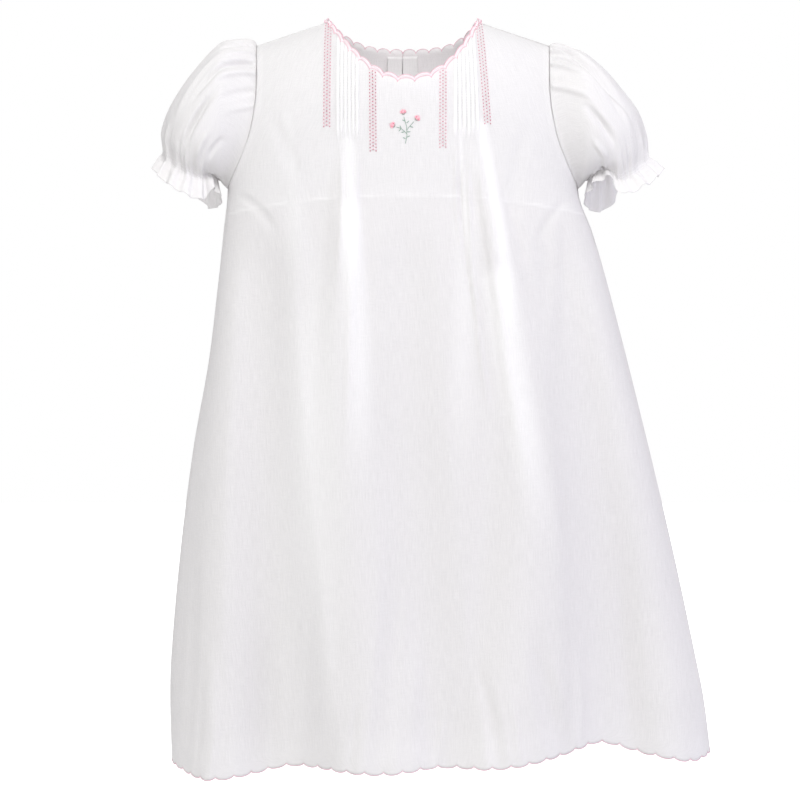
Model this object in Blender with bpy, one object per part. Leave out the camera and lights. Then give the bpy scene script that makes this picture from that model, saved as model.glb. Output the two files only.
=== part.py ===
"""A newborn's daygown with short puffed sleeves, filled out as when worn, with nobody in it.

The front panel has two groups of pintucks under a scalloped neck, two back panels meet at a buttoned
placket, and the sleeves end in elastic and a narrow ruffle. Tables and sizes are in millimetres, and
the meshes are made in metres. +X is the right side of a front view, -Y is the front and +Z is up.
The origin lies midway between the two points where the neck meets the shoulder seams."""

import math
from collections import namedtuple

import bmesh
import bpy
from mathutils import Vector

MM = 0.001

# Driving sizes of the gown
NECK_HALF = 51.0
SHOULDER_HALF = 99.0
SHOULDER_FALL = 16.0
ARMPIT_Z = -114.0
HEM_Z = -500.0
CLOTH = 1.2
SEAM = 0.3
ROUNDNESS = 2.3
SHOULDER_CAP_FRONT = 70.0
SHOULDER_CAP_BACK = 60.0
FRONT = -1
BACK = 1

# The neck's curve: how far it drops, and how square it is on either side
Neck = namedtuple("Neck", "drop left_power right_power")
NECKS = {
    FRONT: Neck(44.0, 1.9, 2.6),
    BACK: Neck(17.0, 3.0, 4.0),
}

# Sections of the body: how far it reaches to either side of the neck's middle, and its depth both ways
Section = namedtuple("Section", "z left right front back")
SECTIONS = (
    Section(-520, 156, 203, 79, 71),
    Section(-461, 158, 199, 76, 67),
    Section(-427, 157, 193, 73, 65),
    Section(-359, 151, 180, 67, 59),
    Section(-288, 142, 165, 61, 53),
    Section(-226, 131, 151, 56, 48),
    Section(-175, 125, 138, 51, 44),
    Section(-144, 122, 129, 49, 42),
    Section(ARMPIT_Z, 119, 119, 47, 40),
    Section(30, 119, 119, 46, 39),
)

# The armhole's edge: half of the panel's width at each height
ArmholeEdge = namedtuple("ArmholeEdge", "z half")
ARMHOLE = (
    ArmholeEdge(ARMPIT_Z, 119),
    ArmholeEdge(-96, 110),
    ArmholeEdge(-78, 103),
    ArmholeEdge(-52, 98.5),
    ArmholeEdge(-SHOULDER_FALL, SHOULDER_HALF),
)

# How the hem's edge hangs round the gown: the height of its edge by the share of the half width
HemEdge = namedtuple("HemEdge", "across front back")
HEM = (
    HemEdge(-1.00, -499, -499),
    HemEdge(-0.80, -505, -498),
    HemEdge(-0.55, -496, -502),
    HemEdge(-0.20, -499, -497),
    HemEdge(0.00, -495, -500),
    HemEdge(0.23, -495, -495),
    HemEdge(0.45, -488, -497),
    HemEdge(0.64, -481, -490),
    HemEdge(0.90, -495, -492),
    HemEdge(1.00, -492, -492),
)

# Soft folds of the skirt: the middle of each at its start, halfway and at the hem, its half width and height
Fold = namedtuple("Fold", "start start_x mid_x hem_x start_width hem_width start_height hem_height")
FRONT_FOLDS = (
    Fold(-150, -114, -120, -124, 12, 34, 1.0, 9.0),
    Fold(-125, -92, -88, -76, 18, 40, -2.5, -17.0),
    Fold(-84, -37, -36, -14, 9, 46, 4.0, 8.0),
    Fold(-125, 2, 8, 22, 20, 34, -2.0, -5.0),
    Fold(-80, 45, 82, 68, 9, 44, 4.0, 9.0),
    Fold(-84, 36, 58, 40, 4, 16, 1.5, -1.0),
    Fold(-125, 95, 126, 141, 18, 42, -2.5, -17.0),
    Fold(-150, 116, 160, 190, 12, 34, 1.0, 9.0),
)
BACK_FOLDS = (
    Fold(-150, -100, -112, -116, 14, 34, 1.0, 9.0),
    Fold(-190, -66, -68, -66, 18, 36, -2.0, -14.0),
    Fold(-190, -26, -20, -16, 18, 36, 2.5, 9.0),
    Fold(-215, 14, 20, 32, 18, 34, -1.5, -11.0),
    Fold(-190, 54, 68, 80, 18, 36, 2.5, 10.0),
    Fold(-150, 88, 116, 134, 16, 38, -2.0, -14.0),
    Fold(-170, 122, 160, 182, 12, 32, 1.0, 8.0),
)

# Pintucks: the first tuck's middle, the spacing at the neck and at the release, and where the stitching ends
TuckGroup = namedtuple("TuckGroup", "first neck_pitch release_pitch release_z")
TUCK_GROUPS = (
    TuckGroup(-43.3, 2.6, 2.6, -82),
    TuckGroup(34.9, 2.45, 2.95, -80),
)
TUCKS_IN_GROUP = 6
TUCK_HEIGHT = 1.1
TUCK_SHAPE = ((-1.25, 0.0), (-0.5, 1.0), (0.5, 1.0))
TUCK_FADE = 14.0

# The body's panels: the share of the width that each spans, its columns, its neck scallops and the side of
# the middle seam that it keeps to
Panel = namedtuple("Panel", "name side first last columns neck_scallops seam_side")
PANELS = (
    Panel("front_panel", FRONT, -1.0, 1.0, 42, 11, 0),
    Panel("back_panel_left", BACK, -1.0, 0.0, 18, 5, -1),
    Panel("back_panel_right", BACK, 0.0, 1.0, 18, 5, 1),
)

# Rows of the panels: shares of the height from the neck or shoulder to the armpit, then heights down the skirt
TUCK_ROWS = (0.035, 0.22, 0.42, 0.6, 0.7)
YOKE_ROWS = (0.8, 0.9, 1.0)
SKIRT_ROWS = (-134, -158, -186, -218, -252, -290, -330, -370, -410, -446, -472)
HEM_ROW_ABOVE = 7.0
SHOULDER_COLUMNS = (63.0, 75.0, 87.0, 99.0)
PLAIN_COLUMNS = (-99, -92, -83, -72, -60, -50, -22, -9, 4, 17, 28, 56, 64, 74, 84, 92, 99)

HEM_SCALLOPS = 38
SCALLOP_DEPTH = 2.2
SCALLOP_SHAPE = ((0.0, 0.0), (0.2, 0.78), (0.5, 1.0), (0.8, 0.78))
SLOPE_STEP = 0.2

# The bodice lining, whose hem shows through the front as a faint line
LINING_EDGE = 2.5
LINING_EASE = 0.15
LINING_HEM_MIDDLE = -122.0
LINING_HEM_SIDE = -133.0
LINING_WALL = 0.9

# Narrow openwork trims sewn down the front, from the neck's edge
Trim = namedtuple("Trim", "name top_x foot_x foot_z")
TRIMS = (
    Trim("trim_outer_left", -50.2, -50.6, -75.5),
    Trim("trim_inner_left", -20.2, -19.8, -92.0),
    Trim("trim_inner_right", 26.5, 26.4, -89.5),
    Trim("trim_outer_right", 51.0, 56.3, -73.5),
)
TRIM_WIDTH = 4.0
TRIM_THICK = 0.8
TRIM_BELOW_EDGE = 2.4
TRIM_ROWS = 12

# The back opening: an outer band with the buttons, and the turned facings inside
PLACKET_FOOT = -196.0
PLACKET_WIDTH = 16.0
PLACKET_THICK = 0.9
PLACKET_CLEAR = 0.7
PLACKET_BELOW_EDGE = 1.5
PLACKET_ROWS = 14
FACING_WIDTH = 10.5
BUTTON_HEIGHTS = (-27.0, -82.0, -137.0)
BUTTON_RADIUS = 4.6
BUTTON_THICK = 1.9
BUTTON_LIFT = 0.45
BUTTON_BEVEL = 0.5
BUTTON_RIM = 1.5
BUTTON_DISH = 0.6
BUTTON_STEPS = 20

# Sleeves, from the armhole to the ruffle's edge: the line over the top, the line under the arm, the half depth
Ring = namedtuple("Ring", "station top_x top_z under_x under_z depth")
SLEEVES = {
    "left": (
        Ring(0, 99.8, -16.0, 119.8, -113.4, 28.0),
        Ring(1, 104.0, -12.6, 120.3, -112.8, 33.0),
        Ring(2, 113.0, -11.8, 121.0, -112.0, 36.5),
        Ring(3, 124.0, -14.5, 121.8, -111.0, 38.5),
        Ring(4, 137.5, -28.0, 122.6, -110.0, 39.0),
        Ring(5, 149.5, -43.5, 123.4, -109.0, 38.0),
        Ring(6, 158.5, -58.5, 124.2, -108.0, 35.5),
        Ring(7, 163.5, -73.0, 125.0, -107.2, 30.0),
        Ring(8, 162.0, -86.5, 126.6, -105.6, 22.5),
        Ring(9, 165.5, -92.0, 125.0, -113.0, 24.5),
        Ring(10, 169.0, -99.0, 123.4, -120.5, 28.0),
    ),
    "right": (
        Ring(0, 99.8, -16.0, 119.8, -113.4, 28.0),
        Ring(1, 105.0, -15.2, 120.3, -112.8, 33.0),
        Ring(2, 113.5, -17.4, 121.0, -112.0, 36.5),
        Ring(3, 124.0, -21.5, 121.8, -111.0, 38.5),
        Ring(4, 138.0, -33.5, 122.6, -110.0, 39.0),
        Ring(5, 149.5, -47.0, 123.4, -109.0, 38.0),
        Ring(6, 159.5, -60.5, 124.2, -108.0, 35.5),
        Ring(7, 165.0, -76.0, 125.0, -107.2, 30.0),
        Ring(8, 166.0, -89.5, 126.6, -105.6, 22.5),
        Ring(9, 171.0, -94.0, 125.0, -113.0, 24.5),
        Ring(10, 176.5, -99.5, 123.4, -120.5, 29.0),
    ),
}

# How far a cuff is raised in front and behind, on its outer part and where it curls beside the body
Raise = namedtuple("Raise", "station front_outer front_inner back_outer back_inner")
CUFF_RAISES = {
    "left": (
        Raise(5, 0.0, 0.0, 0.0, 0.0),
        Raise(6, -1.0, 0.0, 0.0, 0.0),
        Raise(7, -4.0, 0.0, 0.5, -1.0),
        Raise(8, -8.0, 1.0, 1.0, -3.0),
        Raise(9, -8.5, 5.0, 1.0, -7.0),
        Raise(10, -9.0, 8.5, 0.0, -11.0),
    ),
    "right": (
        Raise(5, 0.0, 0.0, 0.0, 0.0),
        Raise(6, -1.0, 0.0, 0.0, 0.0),
        Raise(7, -5.0, 0.0, 0.5, -1.0),
        Raise(8, -10.0, 2.0, 1.0, -3.0),
        Raise(9, -10.0, 6.5, 0.0, -8.0),
        Raise(10, -9.0, 11.0, -2.0, -14.0),
    ),
}

# The height across the cuff, from -1 under the arm to 1 on top, where its outer part ends and its curl begins
Curl = namedtuple("Curl", "front_outer front_inner back_outer back_inner")
CUFF_CURLS = {
    "left": Curl(-0.5, -0.88, 0.0, -0.55),
    "right": Curl(0.0, -0.6, 0.1, -0.5),
}
ELASTIC_STATION = 8
CUFF_EDGE_STATION = 10
CAP_GATHERS = 16
CAP_SPREAD = 78.0
CAP_HEIGHT = 1.7
CAP_LENGTH = 2.6
CUFF_GATHERS = 14
CUFF_GATHER_HEIGHT = 1.3
CUFF_GATHER_START = 6.0
RUFFLE_HEIGHT = 2.6
UNDER_ARM_SPREAD = 45.0
TURNED_BY = 3.2
SLEEVE_WALL = 1.3
SLEEVE_PLAIN_COLUMNS = 28
SLEEVE_CAP_STATIONS = (0.0, 0.6, 1.3, 2.1)
SLEEVE_PLAIN_STATIONS = (3.0, 4.0, 5.0)
SLEEVE_CUFF_STATIONS = (6.0, 6.9, 7.5, 8.0, 8.5, 9.2, 10.0)


def smooth(table, at, column):
    """A value between a table's rows, on a curve through them without kinks. The first column rises."""
    keys = [row[0] for row in table]
    values = [getattr(row, column) for row in table]
    if at <= keys[0]:
        return values[0]
    if at >= keys[-1]:
        return values[-1]
    low = max(i for i, key in enumerate(keys) if key <= at)
    slopes = []
    for i in (low, low + 1):
        before, after = max(i - 1, 0), min(i + 1, len(keys) - 1)
        slopes.append((values[after] - values[before]) / (keys[after] - keys[before]))
    gap = keys[low + 1] - keys[low]
    t = (at - keys[low]) / gap
    return (
        values[low] * (2 * t**3 - 3 * t**2 + 1)
        + slopes[0] * gap * (t**3 - 2 * t**2 + t)
        + values[low + 1] * (3 * t**2 - 2 * t**3)
        + slopes[1] * gap * (t**3 - t**2)
    )


def ease(t):
    t = min(1.0, max(0.0, t))
    return t * t * (3 - 2 * t)


def bump(t):
    """A soft hill of height 1 at 0 that ends at -1 and 1."""
    return (1 - t * t) ** 2 if abs(t) < 1 else 0.0


def form(z):
    """The body's middle, half width, and depths in front and behind, at a height."""
    left = smooth(SECTIONS, z, "left")
    right = smooth(SECTIONS, z, "right")
    front, back = smooth(SECTIONS, z, "front"), smooth(SECTIONS, z, "back")
    return (right - left) / 2, (right + left) / 2, front, back


def shoulder_z(x):
    """The height of the shoulder seam, carried on over the neck."""
    return -SHOULDER_FALL * (abs(x) - NECK_HALF) / (SHOULDER_HALF - NECK_HALF)


def neck_z(x, side):
    neck = NECKS[side]
    power = neck.left_power if x < 0 else neck.right_power
    return -neck.drop * (1 - min(1.0, abs(x) / NECK_HALF) ** power)


def top_z(x, side):
    """The panel's upper edge: the neck, then the shoulder seam."""
    return neck_z(x, side) if abs(x) < NECK_HALF else shoulder_z(x)


def shoulder_share(x, z, side):
    """How far the cloth has come forward from the shoulder seam, from 0 to 1."""
    cap = SHOULDER_CAP_FRONT if side == FRONT else SHOULDER_CAP_BACK
    drop = shoulder_z(x) - z
    return 1.0 if drop >= cap else math.sqrt(max(0.0, 1 - (1 - max(drop, 0.0) / cap) ** 2))


def depth(x, z, side):
    """How far the cloth's outside is from the middle plane, with no folds."""
    middle, half, front, back = form(z)
    full = front if side == FRONT else back
    across = min(1.0, abs(x - middle) / half)
    return full * shoulder_share(x, z, side) * (1 - across**ROUNDNESS) ** (1 / ROUNDNESS)


def body_normal(x, z, side):
    """The direction that points out of the cloth."""
    z = min(z, shoulder_z(x) - 0.6)
    y = side * max(depth(x, z, side), SEAM / 2)

    def level(px, py, pz):
        middle, half, front, back = form(pz)
        full = (front if side == FRONT else back) * shoulder_share(px, pz, side)
        return (abs(px - middle) / half) ** ROUNDNESS + (abs(py) / full) ** ROUNDNESS

    step = 0.05
    slope = Vector((
        level(x + step, y, z) - level(x - step, y, z),
        level(x, y + step, z) - level(x, y - step, z),
        level(x, y, z + step) - level(x, y, z - step),
    ))
    return slope.normalized()


def fold_height(x, z, side):
    """How far the soft folds lift the cloth at a place."""
    lift = 0.0
    for fold in FRONT_FOLDS if side == FRONT else BACK_FOLDS:
        p = (fold.start - z) / (fold.start - HEM_Z)
        if p <= 0:
            continue
        a, b = fold.start_x, fold.hem_x
        curve = 4 * (fold.mid_x - (a + b) / 2) * p * (1 - p)
        place = a + (b - a) * p + curve
        width = fold.start_width + (fold.hem_width - fold.start_width) * p
        height = fold.start_height + (fold.hem_height - fold.start_height) * p
        lift += height * ease(p / 0.14) * bump((x - place) / width)
    return lift


def tuck_middles(group, z):
    """The middles of a group's tucks at a height."""
    share = ease(z / group.release_z)
    pitch = group.neck_pitch + (group.release_pitch - group.neck_pitch) * share
    return [group.first + i * pitch for i in range(TUCKS_IN_GROUP)]


def tuck_share(group, z):
    """How much of a tuck's height is left: all of it above the release, none a little below."""
    return 1 - ease((group.release_z + TUCK_FADE / 2 - z) / TUCK_FADE)


def body_point(x, z, side, lift=0.0, wall=0.0):
    """A point of the cloth's outside, moved out by lift or in by wall, kept on its own side of the seams."""
    normal = body_normal(x, z, side)
    y = side * max(depth(x, z, side), SEAM / 2)
    point = Vector((x, y, z)) + normal * (fold_height(x, z, side) + lift - wall)
    if side * point.y < SEAM / 2:
        point.y = side * SEAM / 2
    return point


def yoke_place(t, v, side):
    """Where the column t, from -1 to 1, stands at the share v of the way down to the armpit."""
    half = smooth(ARMHOLE, -SHOULDER_FALL + (ARMPIT_Z + SHOULDER_FALL) * v, "half")
    x0 = t * SHOULDER_HALF
    x = x0 + (half - SHOULDER_HALF) * math.copysign(t**4, t)
    top = top_z(x0, side)
    return x, top + (ARMPIT_Z - top) * v


def skirt_place(t, z):
    middle, half, _, _ = form(z)
    return middle + half * t, z


def even_columns(count, first=-1.0, last=1.0):
    """Columns that crowd towards the side seams, where the cloth turns."""
    turns = [first + (last - first) * i / count for i in range(count + 1)]
    return [math.copysign(abs(math.sin(u * math.pi / 2)) ** 0.9, u) for u in turns]


def tuck_columns(z):
    """Columns of a tucked row, with the share of a tuck's height at each."""
    columns = [(x, 0.0) for x in PLAIN_COLUMNS]
    for group in TUCK_GROUPS:
        middles = tuck_middles(group, z)
        spread = (middles[1] - middles[0]) / group.neck_pitch
        for middle in middles:
            left = tuck_share(group, z)
            columns += [(middle + offset * spread, share * left) for offset, share in TUCK_SHAPE]
        columns.append((middles[-1] - TUCK_SHAPE[0][0] * spread, 0.0))
    return sorted(columns)


def scallops(count):
    """Places along an edge from 0 to 1, with the share of the scallop's height at each."""
    places = []
    for i in range(count):
        places += [((i + share) / count, height) for share, height in SCALLOP_SHAPE]
    return places + [(1.0, 0.0)]


def along(points, count=240):
    """A function that turns a share of a curve's length into the share that points, the curve, takes."""
    line = [points(i / count) for i in range(count + 1)]
    lengths = [0.0]
    for a, b in zip(line, line[1:]):
        lengths.append(lengths[-1] + (b - a).length)

    def place(share):
        target = share * lengths[-1]
        i = next((k for k in range(1, count) if lengths[k] >= target), count)
        part = (target - lengths[i - 1]) / (lengths[i] - lengths[i - 1])
        return (i - 1 + part) / count

    return place


def neck_edge(first, last, count, side):
    """Points (x, z) of the scalloped neck from x = first to x = last."""
    def point(s):
        x = first + (last - first) * s
        return body_point(x, neck_z(x, side), side)

    place = along(point)
    step = SLOPE_STEP
    edge = []
    for share, height in scallops(count):
        x = first + (last - first) * place(share)
        slope = (neck_z(x + step, side) - neck_z(x - step, side)) / (2 * step)
        lift = height * SCALLOP_DEPTH / math.hypot(1, slope)
        edge.append((x - slope * lift, neck_z(x, side) + lift))
    return edge


class Wall:
    """A cloth wall made of rows of corners on its outside and its inside, closed at every edge."""

    def __init__(self):
        self.mesh = bmesh.new()
        self.outer, self.inner = [], []

    def row(self, outer, inner):
        """Adds a row. Each list holds (place along the row, point)."""
        for points, rows in ((outer, self.outer), (inner, self.inner)):
            rows.append([(key, self.mesh.verts.new(point * MM)) for key, point in points])

    def stitch(self, first, second, closed):
        """Fills the band between two rows, which may hold different numbers of corners."""
        if closed:
            first = first + [(first[0][0] + 1.0, first[0][1])]
            second = second + [(second[0][0] + 1.0, second[0][1])]
        i = j = 0
        while i < len(first) - 1 or j < len(second) - 1:
            if j == len(second) - 1 or (i < len(first) - 1 and first[i + 1][0] <= second[j + 1][0]):
                self.mesh.faces.new((first[i][1], first[i + 1][1], second[j][1]))
                i += 1
            else:
                self.mesh.faces.new((first[i][1], second[j + 1][1], second[j][1]))
                j += 1

    def finish(self, name, finish, closed=False):
        for rows in (self.outer, self.inner):
            for first, second in zip(rows, rows[1:]):
                self.stitch(first, second, closed)
        for end in (0, -1):
            self.stitch(self.outer[end], self.inner[end], closed)
        if not closed:
            for end in (0, -1):
                outer = [row[end][1] for row in self.outer]
                inner = [row[end][1] for row in self.inner]
                for i in range(len(outer) - 1):
                    self.mesh.faces.new((outer[i], outer[i + 1], inner[i + 1], inner[i]))
        bmesh.ops.recalc_face_normals(self.mesh, faces=self.mesh.faces)
        return named_object(name, self.mesh, finish)


def material(name, colour, roughness):
    finish = bpy.data.materials.new(name)
    finish.use_nodes = True
    shader = finish.node_tree.nodes["Principled BSDF"]
    shader.inputs["Base Color"].default_value = (*colour, 1)
    shader.inputs["Roughness"].default_value = roughness
    shader.inputs["Metallic"].default_value = 0.0
    finish.diffuse_color = (*colour, 1)
    return finish


def named_object(name, mesh, finish):
    data = bpy.data.meshes.new(name)
    mesh.to_mesh(data)
    mesh.free()
    data.shade_smooth()
    data.set_sharp_from_angle(angle=math.radians(40))
    data.materials.append(finish)
    item = bpy.data.objects.new(name, data)
    bpy.context.scene.collection.objects.link(item)
    return item


def panel_point(panel, x, z, lift=0.0, wall=0.0):
    """A body point that a back panel keeps clear of the middle seam."""
    point = body_point(x, z, panel.side, lift, wall)
    middle = form(z)[0]
    if panel.seam_side and panel.seam_side * (point.x - middle) < SEAM / 2:
        point.x = middle + panel.seam_side * SEAM / 2
    return point


def panel_top(panel):
    """Places (column, x, z) along the neck's scallops and the shoulder seams."""
    first = max(panel.first, -NECK_HALF / SHOULDER_HALF) * SHOULDER_HALF
    last = min(panel.last, NECK_HALF / SHOULDER_HALF) * SHOULDER_HALF
    edge = neck_edge(first, last, panel.neck_scallops, panel.side)
    if panel.first < 0:
        edge = [(-x, shoulder_z(x)) for x in reversed(SHOULDER_COLUMNS)] + edge
    if panel.last > 0:
        edge += [(x, shoulder_z(x)) for x in SHOULDER_COLUMNS]
    return [(x / SHOULDER_HALF, x, z) for x, z in edge]


def panel_hem(panel, columns, shares):
    """Places (column, x, z) along the hem's scallops."""
    column = "front" if panel.side == FRONT else "back"

    def place(s):
        share = panel.first + (panel.last - panel.first) * s
        return skirt_place(share, smooth(HEM, share, column))

    by_length = along(lambda s: body_point(*place(s), panel.side))
    hem = []
    for length, height in scallops(round(HEM_SCALLOPS * (panel.last - panel.first) / 2)):
        s = by_length(length)
        x, z = place(s)
        share = panel.first + (panel.last - panel.first) * s
        i = next(k for k in range(1, len(columns)) if shares[k] >= share or k == len(columns) - 1)
        part = (share - shares[i - 1]) / (shares[i] - shares[i - 1])
        hem.append((columns[i - 1] + (columns[i] - columns[i - 1]) * part, x, z - height * SCALLOP_DEPTH))
    return hem


def body_panel(panel, finish):
    """A panel from the neck and shoulder to the hem. Tucks are raised on the outside of the front alone."""
    wall = Wall()
    columns = even_columns(panel.columns, panel.first, panel.last)

    def add(outer_places, inner_places):
        outer = [(key, panel_point(panel, x, z, lift=lift)) for key, x, z, lift in outer_places]
        inner = [(key, panel_point(panel, x, z, wall=CLOTH)) for key, x, z, lift in inner_places]
        wall.row(outer, inner)

    def add_plain(places):
        places = [(*place, 0.0) for place in places]
        add(places, places)

    add_plain(panel_top(panel))
    for v in TUCK_ROWS:
        plain = [(t, *yoke_place(t, v, panel.side), 0.0) for t in columns]
        if panel.side == BACK:
            add(plain, plain)
            continue
        tucked = []
        for x, share in tuck_columns(yoke_place(TUCK_GROUPS[0].first / SHOULDER_HALF, v, FRONT)[1]):
            t = x / SHOULDER_HALF
            tucked.append((t, *yoke_place(t, v, FRONT), share * TUCK_HEIGHT))
        add(tucked, plain)
    for v in YOKE_ROWS:
        add_plain([(t, *yoke_place(t, v, panel.side)) for t in columns])

    # Below the armpit a column keeps the share of the width that it has there
    shares = [yoke_place(t, 1.0, panel.side)[0] / form(ARMPIT_Z)[1] for t in columns]
    for z in SKIRT_ROWS:
        add_plain([(t, *skirt_place(share, z)) for t, share in zip(columns, shares)])
    edge = "front" if panel.side == FRONT else "back"
    above_hem = [smooth(HEM, share, edge) + HEM_ROW_ABOVE for share in shares]
    add_plain([(t, *skirt_place(share, z)) for t, share, z in zip(columns, shares, above_hem)])
    add_plain(panel_hem(panel, columns, shares))
    return wall.finish(panel.name, finish)


def bodice_lining(finish):
    """A second layer behind the front. It has the front's own columns and rows down to its curved hem."""
    wall = Wall()
    clear = CLOTH + SEAM + LINING_EASE
    columns = [t for t in even_columns(PANELS[0].columns) if abs(t) < 1 - LINING_EDGE / SHOULDER_HALF]
    hem = [LINING_HEM_MIDDLE + (LINING_HEM_SIDE - LINING_HEM_MIDDLE) * t * t for t in columns]
    rows = [[yoke_place(t, v, FRONT) for t in columns] for v in TUCK_ROWS + YOKE_ROWS]
    half = form(ARMPIT_Z)[1]
    rows.append([skirt_place(yoke_place(t, 1.0, FRONT)[0] / half, z) for t, z in zip(columns, hem)])
    for row in rows:
        places = list(zip(columns, row))
        outer = [(t, body_point(x, z, FRONT, wall=clear)) for t, (x, z) in places]
        inner = [(t, body_point(x, z, FRONT, wall=clear + LINING_WALL)) for t, (x, z) in places]
        wall.row(outer, inner)
    return wall.finish("bodice_lining", finish)


BAND_COLUMNS = (-0.5, -0.17, 0.17, 0.5)


def band(name, side, line, width, lift, thick, rows, finish):
    """A narrow strip that lies on the cloth along a line of (x, z) by a share from 0 to 1."""
    wall = Wall()
    for i in range(rows + 1):
        x, z = line(i / rows)
        outer, inner = [], []
        for share in BAND_COLUMNS:
            outer.append((share, body_point(x + share * width, z, side, lift=lift + thick)))
            inner.append((share, body_point(x + share * width, z, side, lift=lift)))
        wall.row(outer, inner)
    return wall.finish(name, finish)


def front_trim(trim, finish):
    top_z_here = neck_z(trim.top_x, FRONT) - TRIM_BELOW_EDGE

    def line(s):
        return trim.top_x + (trim.foot_x - trim.top_x) * s, top_z_here + (trim.foot_z - top_z_here) * s

    return band(trim.name, FRONT, line, TRIM_WIDTH, SEAM, TRIM_THICK, TRIM_ROWS, finish)


def back_opening(cloth, pearl):
    """The placket over the middle seam, its buttons, and the facings turned in on each side."""
    top = neck_z(0, BACK) - PLACKET_BELOW_EDGE
    inside = -CLOTH - PLACKET_CLEAR - PLACKET_THICK

    def middle(s):
        z = top + (PLACKET_FOOT - top) * s
        return form(z)[0], z

    band("back_placket", BACK, middle, PLACKET_WIDTH, PLACKET_CLEAR, PLACKET_THICK, PLACKET_ROWS, cloth)
    for name, sign in (("facing_left", -1), ("facing_right", 1)):
        def line(s, sign=sign):
            x, z = middle(s)
            return x + sign * (FACING_WIDTH / 2 + SEAM), z
        band(name, BACK, line, FACING_WIDTH, inside, PLACKET_THICK, PLACKET_ROWS, cloth)
    for i, height in enumerate(BUTTON_HEIGHTS):
        button(f"button_{i + 1}", height, pearl)


def button(name, height, finish):
    """A shallow dished button, turned about its own axis and set on the placket."""
    x = form(height)[0]
    normal = body_normal(x, height, BACK)
    seat = body_point(x, height, BACK, lift=PLACKET_CLEAR + PLACKET_THICK + BUTTON_LIFT)
    turn = Vector((0, 0, 1)).rotation_difference(normal)
    profile = (
        (0.0, 0.0),
        (BUTTON_RADIUS - BUTTON_BEVEL, 0.0),
        (BUTTON_RADIUS, BUTTON_BEVEL),
        (BUTTON_RADIUS, BUTTON_THICK - BUTTON_BEVEL),
        (BUTTON_RADIUS - BUTTON_BEVEL, BUTTON_THICK),
        (BUTTON_RADIUS - BUTTON_RIM, BUTTON_THICK - BUTTON_BEVEL),
        (0.0, BUTTON_THICK - BUTTON_DISH),
    )
    mesh = bmesh.new()
    corners = [mesh.verts.new((r * MM, 0, h * MM)) for r, h in profile]
    edges = [mesh.edges.new(pair) for pair in zip(corners, corners[1:])]
    bmesh.ops.spin(
        mesh, geom=corners + edges, axis=(0, 0, 1), cent=(0, 0, 0), angle=2 * math.pi, steps=BUTTON_STEPS
    )
    bmesh.ops.remove_doubles(mesh, verts=mesh.verts, dist=0.00001)
    bmesh.ops.recalc_face_normals(mesh, faces=mesh.faces)
    item = named_object(name, mesh, finish)
    item.rotation_mode = "QUATERNION"
    item.rotation_quaternion = turn
    item.location = seat * MM
    return item


def armhole_point(angle):
    """The armhole's edge by the angle round the arm: 90 at the shoulder, 180 in front, 270 under the arm."""
    share = (1 - math.sin(math.radians(angle))) / 2
    z = -SHOULDER_FALL + (ARMPIT_Z + SHOULDER_FALL) * share
    side = FRONT if math.cos(math.radians(angle)) < 0 else BACK
    return smooth(ARMHOLE, z, "half"), side * depth(smooth(ARMHOLE, z, "half"), z, side), z


def cuff_raise(side, station, level, half):
    """How far a sleeve's front or back is raised at a height across it."""
    raises, curl = CUFF_RAISES[side], CUFF_CURLS[side]
    outer, inner = getattr(curl, half + "_outer"), getattr(curl, half + "_inner")
    curled = ease((outer - level) / (outer - inner))
    low, high = smooth(raises, station, half + "_inner"), smooth(raises, station, half + "_outer")
    return high + (low - high) * curled


def sleeve_base(side, station, angle):
    """A point on the middle of a sleeve's wall, with no gathers, for a sleeve on the +X side."""
    rings = SLEEVES[side]
    top = Vector((smooth(rings, station, "top_x"), 0, smooth(rings, station, "top_z")))
    under = Vector((smooth(rings, station, "under_x"), 0, smooth(rings, station, "under_z")))
    up = (top - under) / 2
    out = Vector((up.z, 0, -up.x)).normalized()
    level = math.sin(math.radians(angle))
    x, y, z = armhole_point(angle)
    start_top = Vector((rings[0].top_x, 0, rings[0].top_z))
    start_under = Vector((rings[0].under_x, 0, rings[0].under_z))
    start_up = (start_top - start_under) / 2
    start_out = Vector((start_up.z, 0, -start_up.x)).normalized()
    hollow = (Vector((x, 0, z)) - (start_top + start_under) / 2 - start_up * level).dot(start_out) + SEAM
    turned = ease(station / TURNED_BY)
    sag = hollow * (1 - turned)
    y_free = math.cos(math.radians(angle)) * smooth(rings, station, "depth")
    point = (top + under) / 2 + up * level + out * sag
    point.y = y * (1 - turned) + y_free * turned
    facing = math.cos(math.radians(angle))
    point.z += abs(facing) * cuff_raise(side, station, level, "front" if facing < 0 else "back")
    return point


def cap_gather(station, angle):
    """The gathers where the sleeve's head meets the armhole, uneven in height and spacing."""
    off = angle - 90
    if abs(off) > CAP_SPREAD or station > CAP_LENGTH:
        return 0.0
    turn = off / CAP_SPREAD * CAP_GATHERS / 2
    uneven = 0.75 + 0.25 * math.cos(2.3 * turn)
    fade = (1 - station / CAP_LENGTH) * ease((1 - abs(off) / CAP_SPREAD) * 4)
    return CAP_HEIGHT * uneven * fade * ease(0.25 + station) * 0.5 * (1 + math.cos(2 * math.pi * turn))


def cuff_gather(station, angle):
    """The gathers above the elastic and the waves of the ruffle below it."""
    wave = math.cos(math.radians(CUFF_GATHERS * angle)) * (0.8 + 0.2 * math.cos(math.radians(3 * angle)))
    wave *= 1 - 0.7 * bump((angle - 270) / UNDER_ARM_SPREAD)
    if station < ELASTIC_STATION:
        share = ease((station - CUFF_GATHER_START) / (ELASTIC_STATION - CUFF_GATHER_START))
        return CUFF_GATHER_HEIGHT * share * wave
    share = (station - ELASTIC_STATION) / (CUFF_EDGE_STATION - ELASTIC_STATION)
    return (CUFF_GATHER_HEIGHT + (RUFFLE_HEIGHT - CUFF_GATHER_HEIGHT) * share) * wave


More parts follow.
